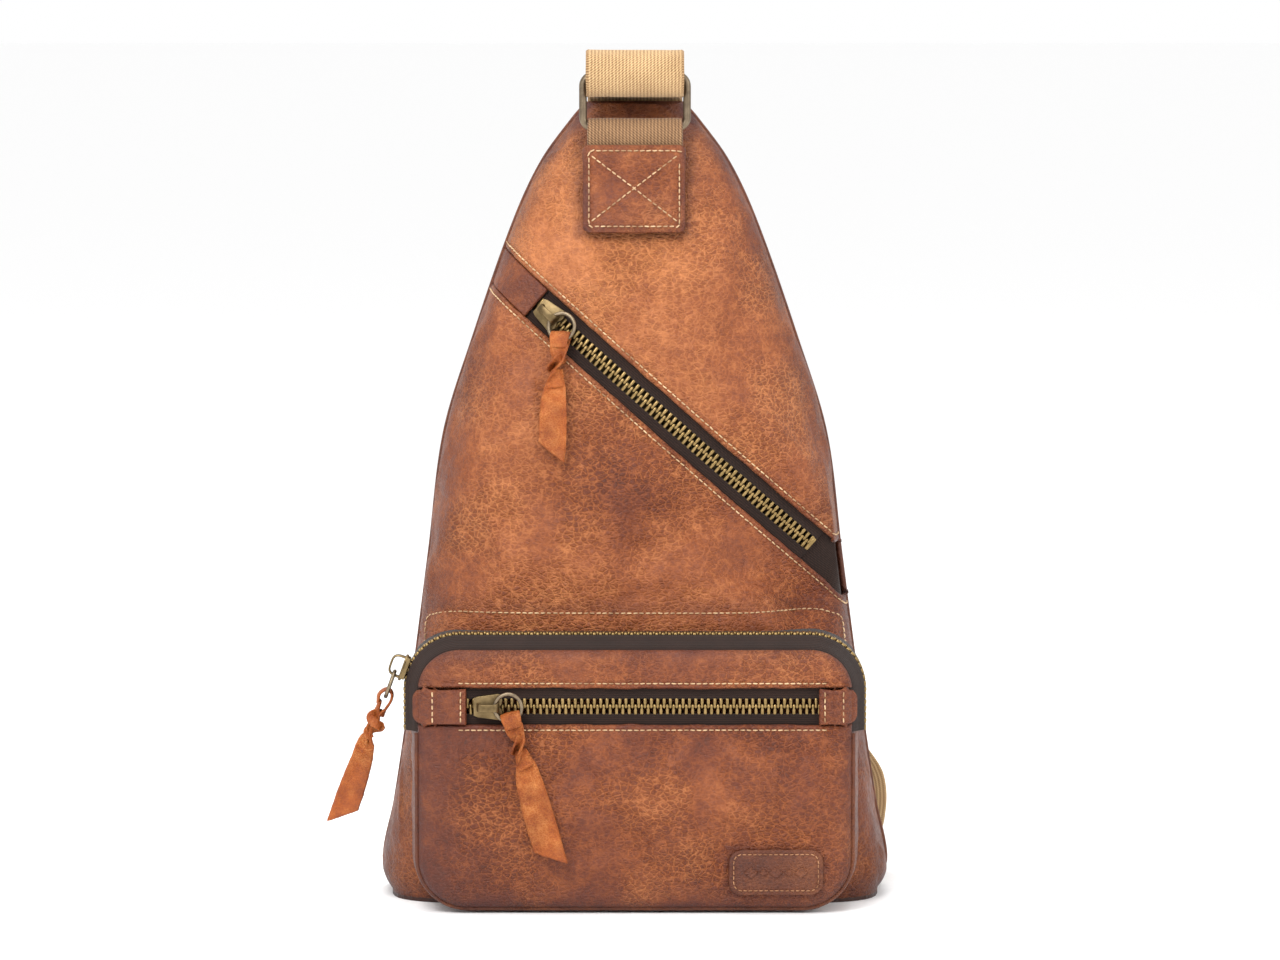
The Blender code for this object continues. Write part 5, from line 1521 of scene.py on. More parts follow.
def make_trim(look):
    def over_tape(x, z, out):
        inner = min(abs(x), Pocket.half - .2 * MM) * math.copysign(1, x)
        beyond = abs(x) - abs(inner)
        place = Pocket.face(inner, z, out + .5 * MM)
        round_off = (Pocket.half + 3 * MM - abs(x))
        drop = 2.6 * MM * (1 - math.sqrt(1 - (1 - min(max(round_off, 0) / (7 * MM), 1)) ** 2))
        flat = BACK_Y - Pocket.zip_depth - out
        y = max(place.y, flat) if abs(x) < Pocket.half - 9 * MM else place.y
        return Vector((x, min(y, BACK_Y - Pocket.edge_depth - out + 1 * MM) + drop * .4 + beyond * .5, z))

    lines = []
    for name, start, sign in (("left", -Pocket.half * .78, -1), ("right", Pocket.half * .852, 1)):
        end = sign * (Pocket.half + 2.4 * MM)
        centre, width = ((start + end) / 2, POCKET_ZIP_HEIGHT), abs(end - start)
        made = patch_shell(f"pocket_tab_{name}_hide", centre, width, 16.4 * MM, 4.5 * MM, over_tape,
            1.7 * MM,
                           "pull-up leather", lambda p: (.45 + .3 * wave(p, 9 * MM, 73), .42, .6),
                           (sign < 0, sign > 0))
        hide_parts(f"pocket_tab_{name}")
        x_in = start + sign * 2.2 * MM
        lines.append([(over_tape(x_in, POCKET_ZIP_HEIGHT + v * MM, 2.15 * MM), Vector((0, -1, 0)))
                      for v in np.linspace(6.2, -6.2, 10)])
        x_mid = start + sign * (abs(end - start) * .62)
        lines.append([(over_tape(x_mid, POCKET_ZIP_HEIGHT + v * MM, 2.15 * MM), Vector((0, -1, 0)))
                      for v in np.linspace(6.2, -6.2, 10)])
    stitches("tab_stitches", lines, pitch=look.stitch_pitch)

    zip_rows = []
    for sign in (1, -1):
        z = POCKET_ZIP_HEIGHT + sign * (EDGE + STITCH_IN)
        reach_l, reach_r = -Pocket.half * .80, Pocket.half * .87
        zip_rows.append([(Pocket.face(x, z, pocket_relief(Pocket.face(x, z)) + .34 * MM),
            Vector((0, -1, 0)))
                         for x in np.linspace(reach_l, reach_r, 90)])
    stitches("pocket_zip_stitches", zip_rows, pitch=look.stitch_pitch)

    centre = (68 * MM, 21 * MM)
    made = patch_shell("label_hide", centre, 45 * MM, 22 * MM, 6 * MM, Pocket.face, 1.9 * MM,
        "burnished leather",
                       lambda p: (.25, .5 + .15 * wave(p, 12 * MM, 75), .5))
    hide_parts("label_patch")
    stitches("label_stitches",
        [inset_line(centre, 45 * MM, 22 * MM, 6 * MM, 2.1 * MM, Pocket.face, 2.35 * MM)],
             pitch=2.5 * MM, length=1.9 * MM, radius=.28 * MM, colour="tan thread")
    builder = bmesh.new()
    for k, x in enumerate(np.linspace(-12, 12, 5)):
        size = 3.4 if k % 2 == 0 else 2.2
        diamond = [(-size * MM, 0), (0, -size * .8 * MM), (size * MM, 0), (0, size * .8 * MM)]
        place = Pocket.face(centre[0] + x * MM, centre[1], 2.2 * MM)
        slab(builder, diamond, 0, .85 * MM, frame_at(place, (1, 0, 0), (0, 0, 1), (0, -1, 0)), .2 * MM, 1)
    motif = mesh_of("label_diamonds", builder, "burnished leather")
    seat_piece(motif, "root", "leather_dark")


def patch_surface(x, z, out):
    """Where the strap's leather patch lies: over the webbing, and bent out at its top towards the ring."""
    lean = 5.8 * MM * fade(z, PATCH_TOP - 23 * MM, PATCH_TOP)
    under = GAP * 2 + STRAP_THICKNESS + .9 * MM + lean
    side = fade(abs(x), STRAP_WIDTH / 2 - 4 * MM, STRAP_WIDTH / 2 + 3 * MM)
    return Vector((x, BACK_Y - natural_depth(0, z) - under - out
        + 2.2 * MM * side * (1 - fade(z, PATCH_TOP - 16 * MM, PATCH_TOP)), z))


def make_patch(look):
    top, low = PATCH_TOP + 1 * MM, PATCH_BOTTOM + 1 * MM
    centre = (-.4 * MM, (top + low) / 2)
    width, height = STRAP_WIDTH + 4.5 * MM, top - low
    tone = lambda p: (.25 + .7 * (1 - fade(STRAP_WIDTH / 2 + 2 * MM - abs(p[0]), 0, 4 * MM))
        + .4 * (1 - fade(p[2] - low, 0, 6 * MM))
                      + .4 * wave(p, 9 * MM, 77), .46 + .16 * wave(p, 14 * MM, 78), .6)
    made = patch_shell("anchor_patch_hide", centre, width, height, 2.2 * MM, patch_surface, 1.8 * MM,
        "pull-up leather",
                       tone)
    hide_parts("anchor_patch")
    lines = [inset_line(centre, width, height, 2.2 * MM, 2.7 * MM, patch_surface, 2.6 * MM)]
    half_w, half_h = width / 2 - 5 * MM, height / 2 - 6 * MM
    for sign in (1, -1):
        lines.append([(patch_surface(centre[0] + t * half_w, centre[1] + sign * t * half_h, 2.6 * MM),
            Vector((0, -1, 0)))
                      for t in np.linspace(-1, 1, 30)])
    stitches("anchor_patch_stitches", lines, pitch=look.stitch_pitch)


# ---- sliders, rings and pulls --------------------------------------------------------------------

def slider_frames():
    """Each slider's own frame (x along the zip, y across it, z outwards), its length and its sag."""
    run = MainZip.half * MainZip.slider_place
    angle = math.asin(run / MainZip.radius)
    tangent = MainZip.along * math.cos(angle) + Vector((0, math.sin(angle), 0))
    main = frame_at(MainZip.point(run, 0, 0), tangent, MainZip.across, MainZip.normal(run))
    pocket = frame_at(pocket_zip_point(-Pocket.half * .78 + 11 * MM, 0, 0), (1, 0, 0), (0, 0, 1),
        (0, -1, 0))
    turn = math.radians(180 - 20)
    normal = Vector((math.cos(turn), 0, math.sin(turn)))
    tangent = Vector((normal.z, 0, -normal.x))
    if tangent.z > 0:
        tangent = -tangent
    corner = Vector((Pocket.corner.x, BACK_Y - Pocket.edge_depth + 13.5 * MM, Pocket.corner.z))
    band = frame_at(corner + normal * (POCKET_TOP_RADIUS + ARCH_RISE + .8 * MM), tangent,
        normal.cross(tangent),
                    normal)
    return {"main": (main, 14 * MM, 0.0), "pocket": (pocket, 14 * MM, 0.0),
        "gusset": (band, 12.6 * MM, 1.3 * MM)}


def make_sliders():
    """Cast sliders: a shield-shaped top plate with turned-down flanges, a crown over it and a lower plate."""
    for prefix, (place, length, sag) in slider_frames().items():
        under = -(TAPE_SINK + TAPE_THICKNESS / 2 - TOOTH_ROW_THICKNESS / 2) + .7 * MM
        over = under + 1.5 * MM
        half = length / 2
        builder = bmesh.new()
        shield = [(-half, -4.3 * MM), (-half + 2.2 * MM, -5.1 * MM), (0, -5.7 * MM),
            (half - 2.6 * MM, -6.3 * MM),
                  (half - .8 * MM, -5.6 * MM), (half, -3.2 * MM), (half - .5 * MM, -1.2 * MM),
                  (half - 1.4 * MM, 0)]
        shield = shield + [(x, -y) for x, y in reversed(shield[:-1])]
        slab(builder, shield, under, over, place, .45 * MM)
        for sign in (-1, 1):
            wing = [(-half + .4 * MM, sign * 4.4 * MM), (-half + 2.2 * MM, sign * 5.1 * MM),
                (0, sign * 5.7 * MM),
                    (half - 2.6 * MM, sign * 6.35 * MM), (half - 1.2 * MM, sign * 6.1 * MM),
                    (half - 1.6 * MM, sign * 5.2 * MM),
                    (0, sign * 4.75 * MM), (-half + 1.6 * MM, sign * 4.3 * MM)]
            slab(builder, wing, -TAPE_SINK + .5 * MM, over - .3 * MM, place, .3 * MM, 1)
        reach, height = 5.6 * MM, BRIDGE_HEIGHT
        spine = []
        for k in range(25):
            t = math.pi * k / 24
            x = -math.copysign(abs(math.cos(t)) ** .55, math.cos(t)) * (reach - .6 * MM)
            z = over - .5 * MM + (height - .1 * MM) * abs(math.sin(t)) ** .5
            spine.append((x, z))
        rings = []
        for k, (x, z) in enumerate(spine):
            before, after = spine[max(k - 1, 0)], spine[min(k + 1, len(spine) - 1)]
            tangent = Vector((after[0] - before[0], 0, after[1] - before[1])).normalized()
            outward = Vector((-tangent.z, 0, tangent.x))
            share = k / (len(spine) - 1)
            wide = (1.75 + .9 * (2 * share - 1) ** 2 * (1.4 if share > .5 else .6)) * MM
            thick = .55 * MM
            ring = []
            for s in range(12):
                t = 2 * math.pi * s / 12
                cy, cz = math.cos(t), math.sin(t)
                y = math.copysign(abs(cy) ** .6, cy) * wide
                off = math.copysign(abs(cz) ** .6, cz) * thick
                ring.append(builder.verts.new(place @ (Vector((x, y, z)) + outward * off)))
            rings.append(ring)
        for low, high in zip(rings, rings[1:]):
            for s in range(12):
                builder.faces.new((low[s], low[(s + 1) % 12], high[(s + 1) % 12], high[s]))
        builder.faces.new(rings[0][::-1])
        builder.faces.new(rings[-1])
        made = mesh_of(f"{prefix}_slider_casting", builder, "antique brass casting", 38)
        seat_piece(made, f"{prefix}_zip_slider", "slider", f"{prefix}_slider")
        builder = bmesh.new()
        depth = -TAPE_SINK - TAPE_THICKNESS / 2 - TOOTH_ROW_THICKNESS / 2 - .7 * MM - .7 * MM - sag
        slab(builder, shield, depth - .7 * MM, depth + .7 * MM, place, .4 * MM)
        made = mesh_of(f"{prefix}_slider_under_casting", builder, "antique brass casting", 38)
        seat_piece(made, f"{prefix}_zip_slider", "slider", f"{prefix}_slider_lower_plate")

        wire_height = over + (height - 1.1 * MM) / 2
        ring_x, ring_y = place.to_3x3() @ Vector((1, 0, 0)), place.to_3x3() @ Vector((0, 1, 0))
        centre = place @ Vector((PULL_HINGE_AHEAD, 0, wire_height)) + ring_x * PULL_RING_RADIUS
        builder = bmesh.new()
        circle = [centre + (ring_x * math.cos(t) + ring_y * math.sin(t)) * PULL_RING_RADIUS
                  for t in np.linspace(0, 2 * math.pi, 49)[:-1]]
        tube(builder, circle, .95 * MM, 12, True)
        made = mesh_of(f"{prefix}_ring_wire", builder, "antique brass wire", 60)
        seat_piece(made, f"{prefix}_zip_ring", "ring", f"{prefix}_pull_ring")


def pull_frames():
    """Each pull's eye on its ring, the way it hangs, its face, its length and its width."""
    made = {}
    for prefix, hang, length, width, lean in (("main", (-.04, 0, -1), 62, 13, 7),
        ("pocket", (.3, 0, -1), 74, 13, 14),
                                              ("gusset", (-.36, 0, -1), 68, 11.5, 0)):
        place = slider_frames()[prefix][0]
        wire = -(TAPE_SINK + TAPE_THICKNESS / 2 - TOOTH_ROW_THICKNESS / 2) + 2.2 * MM + (BRIDGE_HEIGHT
            - 1.1 * MM) / 2
        ring_x, ring_y = place.to_3x3() @ Vector((1, 0, 0)), place.to_3x3() @ Vector((0, 1, 0))
        normal = ring_x.cross(ring_y).normalized()
        hang = Vector(hang)
        flat = (hang - normal * hang.dot(normal)).normalized()
        centre = place @ Vector((PULL_HINGE_AHEAD, 0, wire)) + ring_x * PULL_RING_RADIUS
        eye = centre + flat * PULL_RING_RADIUS
        tilt = math.radians(lean)
        down = (flat * math.cos(tilt) + normal * math.sin(tilt)).normalized()
        side = down.cross(normal).normalized()
        made[prefix] = (eye, down, side, side.cross(down).normalized(), length * MM, width * MM)
    return made


def thong_strip(stations, frames):
    """A leather thong: stations are (along, side, out, width, twist, cup), smoothed and swept in the pull's frame."""
    eye, down, side, face = frames
    route = smooth_route([(s[0], s[1], s[2]) for s in stations], 1.0 * MM)
    extra = np.array([[s[3], s[4], s[5]] for s in stations])
    reach = np.concatenate([[0], np.cumsum([(Vector(b[:3]) - Vector(a[:3])).length
                                            for a, b in zip(stations, stations[1:])])])
    places = np.concatenate([[0], np.cumsum([(b - a).length for a, b in zip(route, route[1:])])])
    places = places / places[-1] * reach[-1]
    rows = []
    lateral = Vector((0, 1, 0))
    for k, spot in enumerate(route):
        before, after = route[max(k - 1, 0)], route[min(k + 1, len(route) - 1)]
        tangent = (after - before).normalized()
        width, twist, cup = (float(np.interp(places[k], reach, extra[:, c])) for c in range(3))
        flat = (lateral - tangent * lateral.dot(tangent)).normalized()
        up = tangent.cross(flat)
        turn = math.radians(twist)
        across = flat * math.cos(turn) + up * math.sin(turn)
        raised = up * math.cos(turn) - flat * math.sin(turn)
        row = []
        for u in np.linspace(-1, 1, 9):
            local = spot + across * (u * width / 2) + raised * (cup * (u * u - .4))
            local += raised * (.25 * MM * wave((local.x, local.y + width, local.z), 6 * MM, 81))
            row.append(eye + down * local.x + side * local.y + face * local.z)
        rows.append(row)
    return as_grid(rows)


def rubbed_pull(seed):
    """The tone of a handled leather pull, unlike from one pull to the next by its seed."""
    return lambda p: (.3 + .35 * wave(p, 9 * MM, seed), .52 + .12 * wave(p, 5 * MM, seed + 1), .6)


def make_pulls():
    """Leather pulls: a thong folded through the ring, twisted into a knot, with a flat tail cut on a slant."""
    for number, (prefix, (eye, down, side, face, length, width)) in enumerate(pull_frames().items()):
        frames = (eye, down, side, face)
        drape = {"main": -1.0, "pocket": -9.0, "gusset": 0.0}[prefix] * MM
        mirror = {"main": 1, "pocket": 1, "gusset": -1}[prefix]
        bodies = []
        wrap = [(4.0, 0, 2.0, 7.2, 0, .5), (0, 0, 2.9, 8.6, 0, .6), (-2.6, 0, 1.6, 9.0, 0, .4),
            (-3.1, 0, -.3, 8.8, 0, .2),
                (-2.2, 0, -2.0, 8.4, 0, .2), (1.0, 0, -2.6, 7.4, 0, .2), (5.5, 0, -1.6, 6.0, 0, .2),
                (9.5, .6, -.6, 5, 30, .1)]
        bodies.append((wrap, 1.1))
        front = [(3.0, 0, 2.3, 8.4, 0, .6), (7.0, -.3, 1.9, 7.2, -8, .7), (10.5, -.6, 1.5, 5.4, -30, .4),
                 (14.0, .4, 1.2, 4.8, -70, .2), (17.5, .9, 1.0, 5.0, -120, .2),
                 (20.5, .2, .6, 5.6, -165, .2),
                 (24.0, -.4, .5, 8.0, -180, .3)]
        bodies.append((front, 1.2))
        knot = [(8.0, -2.6, -1.2, 4.2, 50, .1), (9.6, -2.6, 1.8, 4.4, 62, .2), (11.6, 0, 3.1, 4.6, 68, .2),
                (13.4, 2.7, 1.6, 4.4, 62, .2), (14.2, 2.5, -1.4, 4.2, 50, .1),
                (15.0, -.4, -2.6, 4.2, 62, .1),
                (16.2, -2.7, -1.0, 4.2, 62, .2), (17.8, -1.6, 2.0, 4.2, 66, .2),
                (19.8, 1.4, 2.2, 3.8, 70, .2),
                (21.4, 2.4, .2, 3.4, 60, .1)]
        bodies.append((knot, 1.0))
        tip = length / MM
        sway = {"main": -1.6, "pocket": 1.0, "gusset": -1.0}[prefix]
        tail = [(15.0, 0, .2, 4.6, 0, .1), (19.0, -.2, .4, 5.6, 8, .5), (24.0, -.4, .8, 8.6, 4, 1.0),
                (31.0, sway * .2, .6 + .1 * drape / MM, width / MM * .86, -2, .9),
                (41.0, sway * .6, .4 + .35 * drape / MM, width / MM * .98, -5, .6),
                (52.0, sway * .9, .2 + .7 * drape / MM, width / MM * 1.03, -3, .3),
                (tip - 1.5, sway, drape / MM, width / MM * 1.02, 2, -.2)]
        bodies.append((tail, 1.9))
        pieces = []
        for k, (stations, thick) in enumerate(bodies):
            quarter = 90 if prefix == "gusset" and k == 3 else 0
            scaled = [(a * MM, b * MM * mirror, c * MM, w * MM, t * mirror + quarter * fade(a, 16, 27),
                q * MM)
                      for a, b, c, w, t, q in stations]
            grid = thong_strip(scaled, frames)
            if k == 3:
                count = grid.shape[0]
                for j in range(9):
                    cut = (j / 8 if mirror > 0 else 1 - j / 8) * 9.5 * MM
                    for i in range(count):
                        share = fade(i / (count - 1), .55, 1)
                        grid[i, j] -= np.array(down) * cut * share
            grid = relieve(grid, facing(grid, lambda p: np.array(face)),
                           lambda p: .16 * MM * wave(p, 3.5 * MM, 83) + .1 * MM * wave(p, 1.6 * MM, 84))
            pieces.append(shell(f"{prefix}_thong_{k}", grid, facing(grid, lambda p: np.array(face)),
                thick * MM,
                                "thong leather", rubbed_pull(90 + 3 * number)))
        bpy.ops.object.select_all(action="DESELECT")
        for piece in pieces:
            piece.select_set(True)
        bpy.context.view_layer.objects.active = pieces[-1]
        bpy.ops.object.join()
        made = pieces[-1]
        made.name = f"{prefix}_thong_pull"
        seat_piece(made, f"{prefix}_zip_pull", "leather_pull", f"{prefix}_pull")


# ---- rings, strap --------------------------------------------------------------------------------

def filled(outline, gap):
    """A closed outline with more points along its straight runs."""
    made = []
    for (x0, z0), (x1, z1) in zip(outline, outline[1:] + outline[:1]):
        count = max(1, round(math.hypot(x1 - x0, z1 - z0) / gap))
        made += [(x0 + (x1 - x0) * s / count, z0 + (z1 - z0) * s / count) for s in range(count)]
    return made


def ring_depth():
    return full_depth(RING_FOOT_Z) + RING_STANDOFF


def lower_ring_x():
    return half_width(LOWER_RING_TOP_Z) - LOWER_RING_INSET


def make_rings():
    """Rectangular rings bent from round wire, and the strap's three-bar adjuster."""
    wire_half = STRAP_WIDTH / 2 + 1 * MM + RING_WIRE
    y = BACK_Y - ring_depth()
    middle = RING_FOOT_Z + RING_HEIGHT / 2
    for name, x0, y0, z0, tall, body in (
            ("top_ring", 0, y, middle, RING_HEIGHT, "top_ring"),
            ("lower_ring", lower_ring_x(), BACK_Y - LOWER_RING_DEPTH,
            LOWER_RING_TOP_Z - LOWER_RING_HEIGHT / 2,
             LOWER_RING_HEIGHT, "lower_ring")):
        loop = filled(rounded_loop(wire_half, tall / 2, 5.5 * MM), 2 * MM)
        builder = bmesh.new()
        tube(builder, [(x0 + x, y0, z0 + z) for x, z in loop], RING_WIRE, 16, True)
        made = mesh_of(f"{name}_wire", builder, "antique brass wire", 60)
        seat_piece(made, body, "ring", name)
    inner = -2 * MM - .7 * MM - STRAP_THICKNESS / 2
    outer = inner - STRAP_THICKNESS - 2 * GAP
    out_y = BACK_Y - outer + STRAP_THICKNESS / 2 + .5 * MM + ADJUSTER_WIRE
    bar_y = BACK_Y - inner
    half_x = STRAP_WIDTH / 2 + 2.6 * MM
    builder = bmesh.new()
    loop = filled(rounded_loop(half_x, ADJUSTER_HEIGHT / 2, 4.5 * MM), 2 * MM)
    tube(builder, [(x, out_y, ADJUSTER_Z + z) for x, z in loop], ADJUSTER_WIRE, 14, True)
    bar = smooth_route([(-half_x, out_y, ADJUSTER_Z), (-half_x, bar_y + 2 * MM, ADJUSTER_Z),
                        (-half_x + 2 * MM, bar_y, ADJUSTER_Z), (half_x - 2 * MM, bar_y, ADJUSTER_Z),
                        (half_x, bar_y + 2 * MM, ADJUSTER_Z), (half_x, out_y, ADJUSTER_Z)], 1 * MM)
    tube(builder, bar, ADJUSTER_WIRE - .1 * MM, 12)
    made = mesh_of("strap_adjuster_wire", builder, "antique brass wire", 60)
    seat_piece(made, "adjuster", "ring", "strap_adjuster")


def strap_grid(route, width, spacing):
    """Outer grid of flat webbing with thick, rounded selvages. Its width lies along X."""
    line = smooth_route([(x, BACK_Y - depth, z) for x, depth, z in route], spacing)
    shares = [-1, -.985, -.94, -.8, -.6, -.4, -.2, 0, .2, .4, .6, .8, .94, .985, 1]
    rows = []
    for k, place in enumerate(line):
        before, after = line[max(k - 1, 0)], line[min(k + 1, len(line) - 1)]
        tangent = (after - before).normalized()
        normal = Vector((1, 0, 0)).cross(tangent).normalized()
        row = []
        for s in shares:
            drop = -.35 * MM * (1 - math.sqrt(max(1 - abs(s) ** 12, 0)))
            drift = .25 * MM * wave((place.x, place.y + s * .02, place.z), 18 * MM, 61)
            row.append(place + Vector((s * width / 2 + .3 * MM * wave((0, place.y, place.z), 11 * MM,
                62) * s, 0, 0))
                       + normal * (drop + drift))
        rows.append(row)
    return as_grid(rows)


def make_webbing_piece(name, route, width, thickness, spacing, material, inside, node_name,
    body=None):
    grid = strap_grid(route, width, spacing)
    normal = facing(grid, inside)
    grid = grid + normal * thickness / 2
    made = shell(name, grid, normal, thickness, material)
    if body:
        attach(made, body)
    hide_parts(node_name)
    return made


def rear(_place):
    return np.array((0, 1, 0))


def make_strap():
    depth = ring_depth()
    lift = RING_WIRE + GAP + STRAP_THICKNESS / 2 + RING_EASE
    top, foot = RING_FOOT_Z + RING_HEIGHT, RING_FOOT_Z
    front = depth + lift
    under = GAP + STRAP_THICKNESS / 2 + .5 * MM
    patch_top = PATCH_TOP + 1 * MM
    route = [(0, natural_depth(0, z) + under, z) for z in spread(patch_top - 36 * MM,
        patch_top - 11 * MM, 3)]
    route += [(0, front - 1.2 * MM, foot - 7 * MM), (0, front, foot - 1 * MM),
              (0, depth + lift * .7, foot + lift * .7), (0, depth, foot + lift),
              (0, depth - lift * .7, foot + lift * .7), (0, depth - lift, foot)]
    make_webbing_piece("anchor_webbing_weave", route, STRAP_WIDTH, STRAP_THICKNESS, 1.6 * MM,
        "brown cotton webbing",
                       forwards, "anchor_webbing", "root")

    roll = [(14.5, -5.2), (15.5, 2), (19.5, 8.6), (26.5, 11), (33.5, 8), (36.5, 0), (33.5, -7.2),
        (26.5, -9.6),
            (14.5, -9.2)]
    roll = [(0, depth + (d - 26.5) * MM, top + z * MM) for d, z in roll]
    grid = strap_grid(roll, STRAP_WIDTH + 1.5 * MM, 1.6 * MM)
    centre = np.array((0, BACK_Y - depth, top))
    normal = grid_normals(grid)
    away = grid - centre
    away[..., 0] = 0
    if (normal * away).sum() < 0:
        normal = -normal
    made = shell("strap_roll_weave", grid + normal * STRAP_THICKNESS / 2, normal, STRAP_THICKNESS,
        "cotton webbing")
    seat_piece(made, "top_ring", "webbing", "strap_top_loop")

    inner = -2 * MM - .7 * MM - STRAP_THICKNESS / 2
    outer = inner - STRAP_THICKNESS - 2 * GAP
    start = depth - 14 * MM
    crest = BODY_HEIGHT
    short = [(0, start, top - 9.2 * MM), (0, 4 * MM, crest + 4.2 * MM), (0, -1.5 * MM, crest + 3.4 * MM),
             (0, inner - .7 * MM, crest + .3 * MM), (0, inner - .6 * MM, crest - 5 * MM),
             (0, inner, crest - 12 * MM), (0, inner, crest - 22 * MM),
             (0, inner, ADJUSTER_Z + ADJUSTER_WIRE + GAP)]
    made = make_webbing_piece("strap_return_weave", short, STRAP_WIDTH, STRAP_THICKNESS, 2.4 * MM,
                                    "cotton webbing", rear, "strap_return_layer")
    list(ring_bend_span())
    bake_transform(made)
    long_route = [(0, start, top - 5.2 * MM), (0, 4 * MM, crest + 7.6 * MM),
        (0, -3.2 * MM, crest + 7.2 * MM),
                  (0, outer - 1.3 * MM, crest + 3.2 * MM), (0, outer - .8 * MM, crest - 5 * MM),
                  (0, outer, crest - 12 * MM), (0, outer, crest - 22 * MM), (0, outer, ADJUSTER_Z),
                  (0, outer, .160)]
    long_route += in_mm([(3, -8, 110), (9, -15, 55), (17, -30, 18), (26, -52, 4), (36, -85, 1.7),
        (47, -130, 1.7)])
    made = make_webbing_piece("strap_long_weave", long_route, STRAP_WIDTH, STRAP_THICKNESS, 3.2 * MM,
                                    "cotton webbing", rear, "strap_upper_run")
    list(ring_bend_span())
    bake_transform(made)
    foot_z = LOWER_RING_TOP_Z - LOWER_RING_HEIGHT
    ring_x, ring_d = lower_ring_x(), LOWER_RING_DEPTH
    route = in_mm([(47.3, -130.5, 1.7), (56, -160, 1.7), (61, -173, 4.4), (63.5, -176.5, 9),
        (66, -171, 13.2),
                   (71, -152, 12.6), (80, -118, 8), (90, -82, 6), (98, -54, 12), (103, -33, 32),
                   (101, -21, 54)])
    route += [(ring_x + 3 * MM, ring_d - lift - 1 * MM, foot_z - 7 * MM), (ring_x, ring_d - lift, foot_z),
              (ring_x, ring_d - lift * .7, foot_z + lift * .7), (ring_x, ring_d, foot_z + lift),
              (ring_x, ring_d + lift * .7, foot_z + lift * .7), (ring_x, ring_d + lift, foot_z),
              (ring_x, ring_d + lift - .3 * MM, foot_z - 5 * MM)]
    made = make_webbing_piece("strap_lower_weave", route, STRAP_WIDTH, STRAP_THICKNESS, 2.6 * MM,
                                    "cotton webbing", rear, "strap_lower_run")
    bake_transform(made)

    lift = RING_WIRE + GAP + LEATHER / 2 + RING_EASE
    tab_top, top = LOWER_RING_TOP_Z + 28 * MM, LOWER_RING_TOP_Z
    layer = -2 * MM - GAP - LEATHER / 2
    route = [(ring_x, layer, tab_top), (ring_x, layer, top + 10 * MM),
        (ring_x, ring_d + lift, top + 1 * MM),
             (ring_x, ring_d + lift * .7, top - lift * .7), (ring_x, ring_d, top - lift),
             (ring_x, ring_d - lift * .7, top - lift * .7), (ring_x, ring_d - lift, top),
             (ring_x, layer - LEATHER - 3 * GAP, top + 11 * MM), (ring_x, layer - LEATHER - GAP, tab_top)]
    make_webbing_piece("lower_ring_tab_hide", route, STRAP_WIDTH - 9 * MM, LEATHER, 1.6 * MM,
                                       "burnished leather", rear, "lower_ring_tab", "root")
    y = BACK_Y - layer + LEATHER * 1.5 + GAP + .4 * MM
    corners = [(-15, 5), (15, 5), (15, -12), (-15, -12), (-15, 5)]
    lines = []
    for (x0, z0), (x1, z1) in zip(corners, corners[1:]):
        lines.append([(Vector((ring_x + (x0 + (x1 - x0) * s) * MM, y + .1 * MM,
            tab_top - 8 * MM + (z0 + (z1 - z0) * s) * MM)),
                       Vector((0, 1, 0))) for s in np.linspace(0, 1, 12)])
    stitches("lower_tab_stitches", lines, colour="tan thread")


def ring_bend_span():
    """Where the strap begins to follow the top ring, and where it follows it fully."""
    return (0, BACK_Y + 6 * MM, .330), (0, ring_y() + 5 * MM, .399)


def ring_y():
    return BACK_Y - ring_depth()


def in_mm(points):
    return [tuple(value * MM for value in point) for point in points]


def finish_inner_nodes():
    """The solids that stay as they are, inside the bag, get their real finishes."""
    given = {"main_lining_upper": "cotton lining", "main_lining_lower": "cotton lining",
        "pocket_lining": "cotton lining",
             "main_lining_back": "cotton lining", "slip_pocket_sheet": "cotton lining",
             "base_board": "burnished leather",
             "base_panel": "burnished leather"}
    for name, finish in given.items():
        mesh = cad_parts[name].data
        mesh.materials.clear()
        mesh.materials.append(MATERIALS[finish])


# ---- stage ---------------------------------------------------------------------------------------

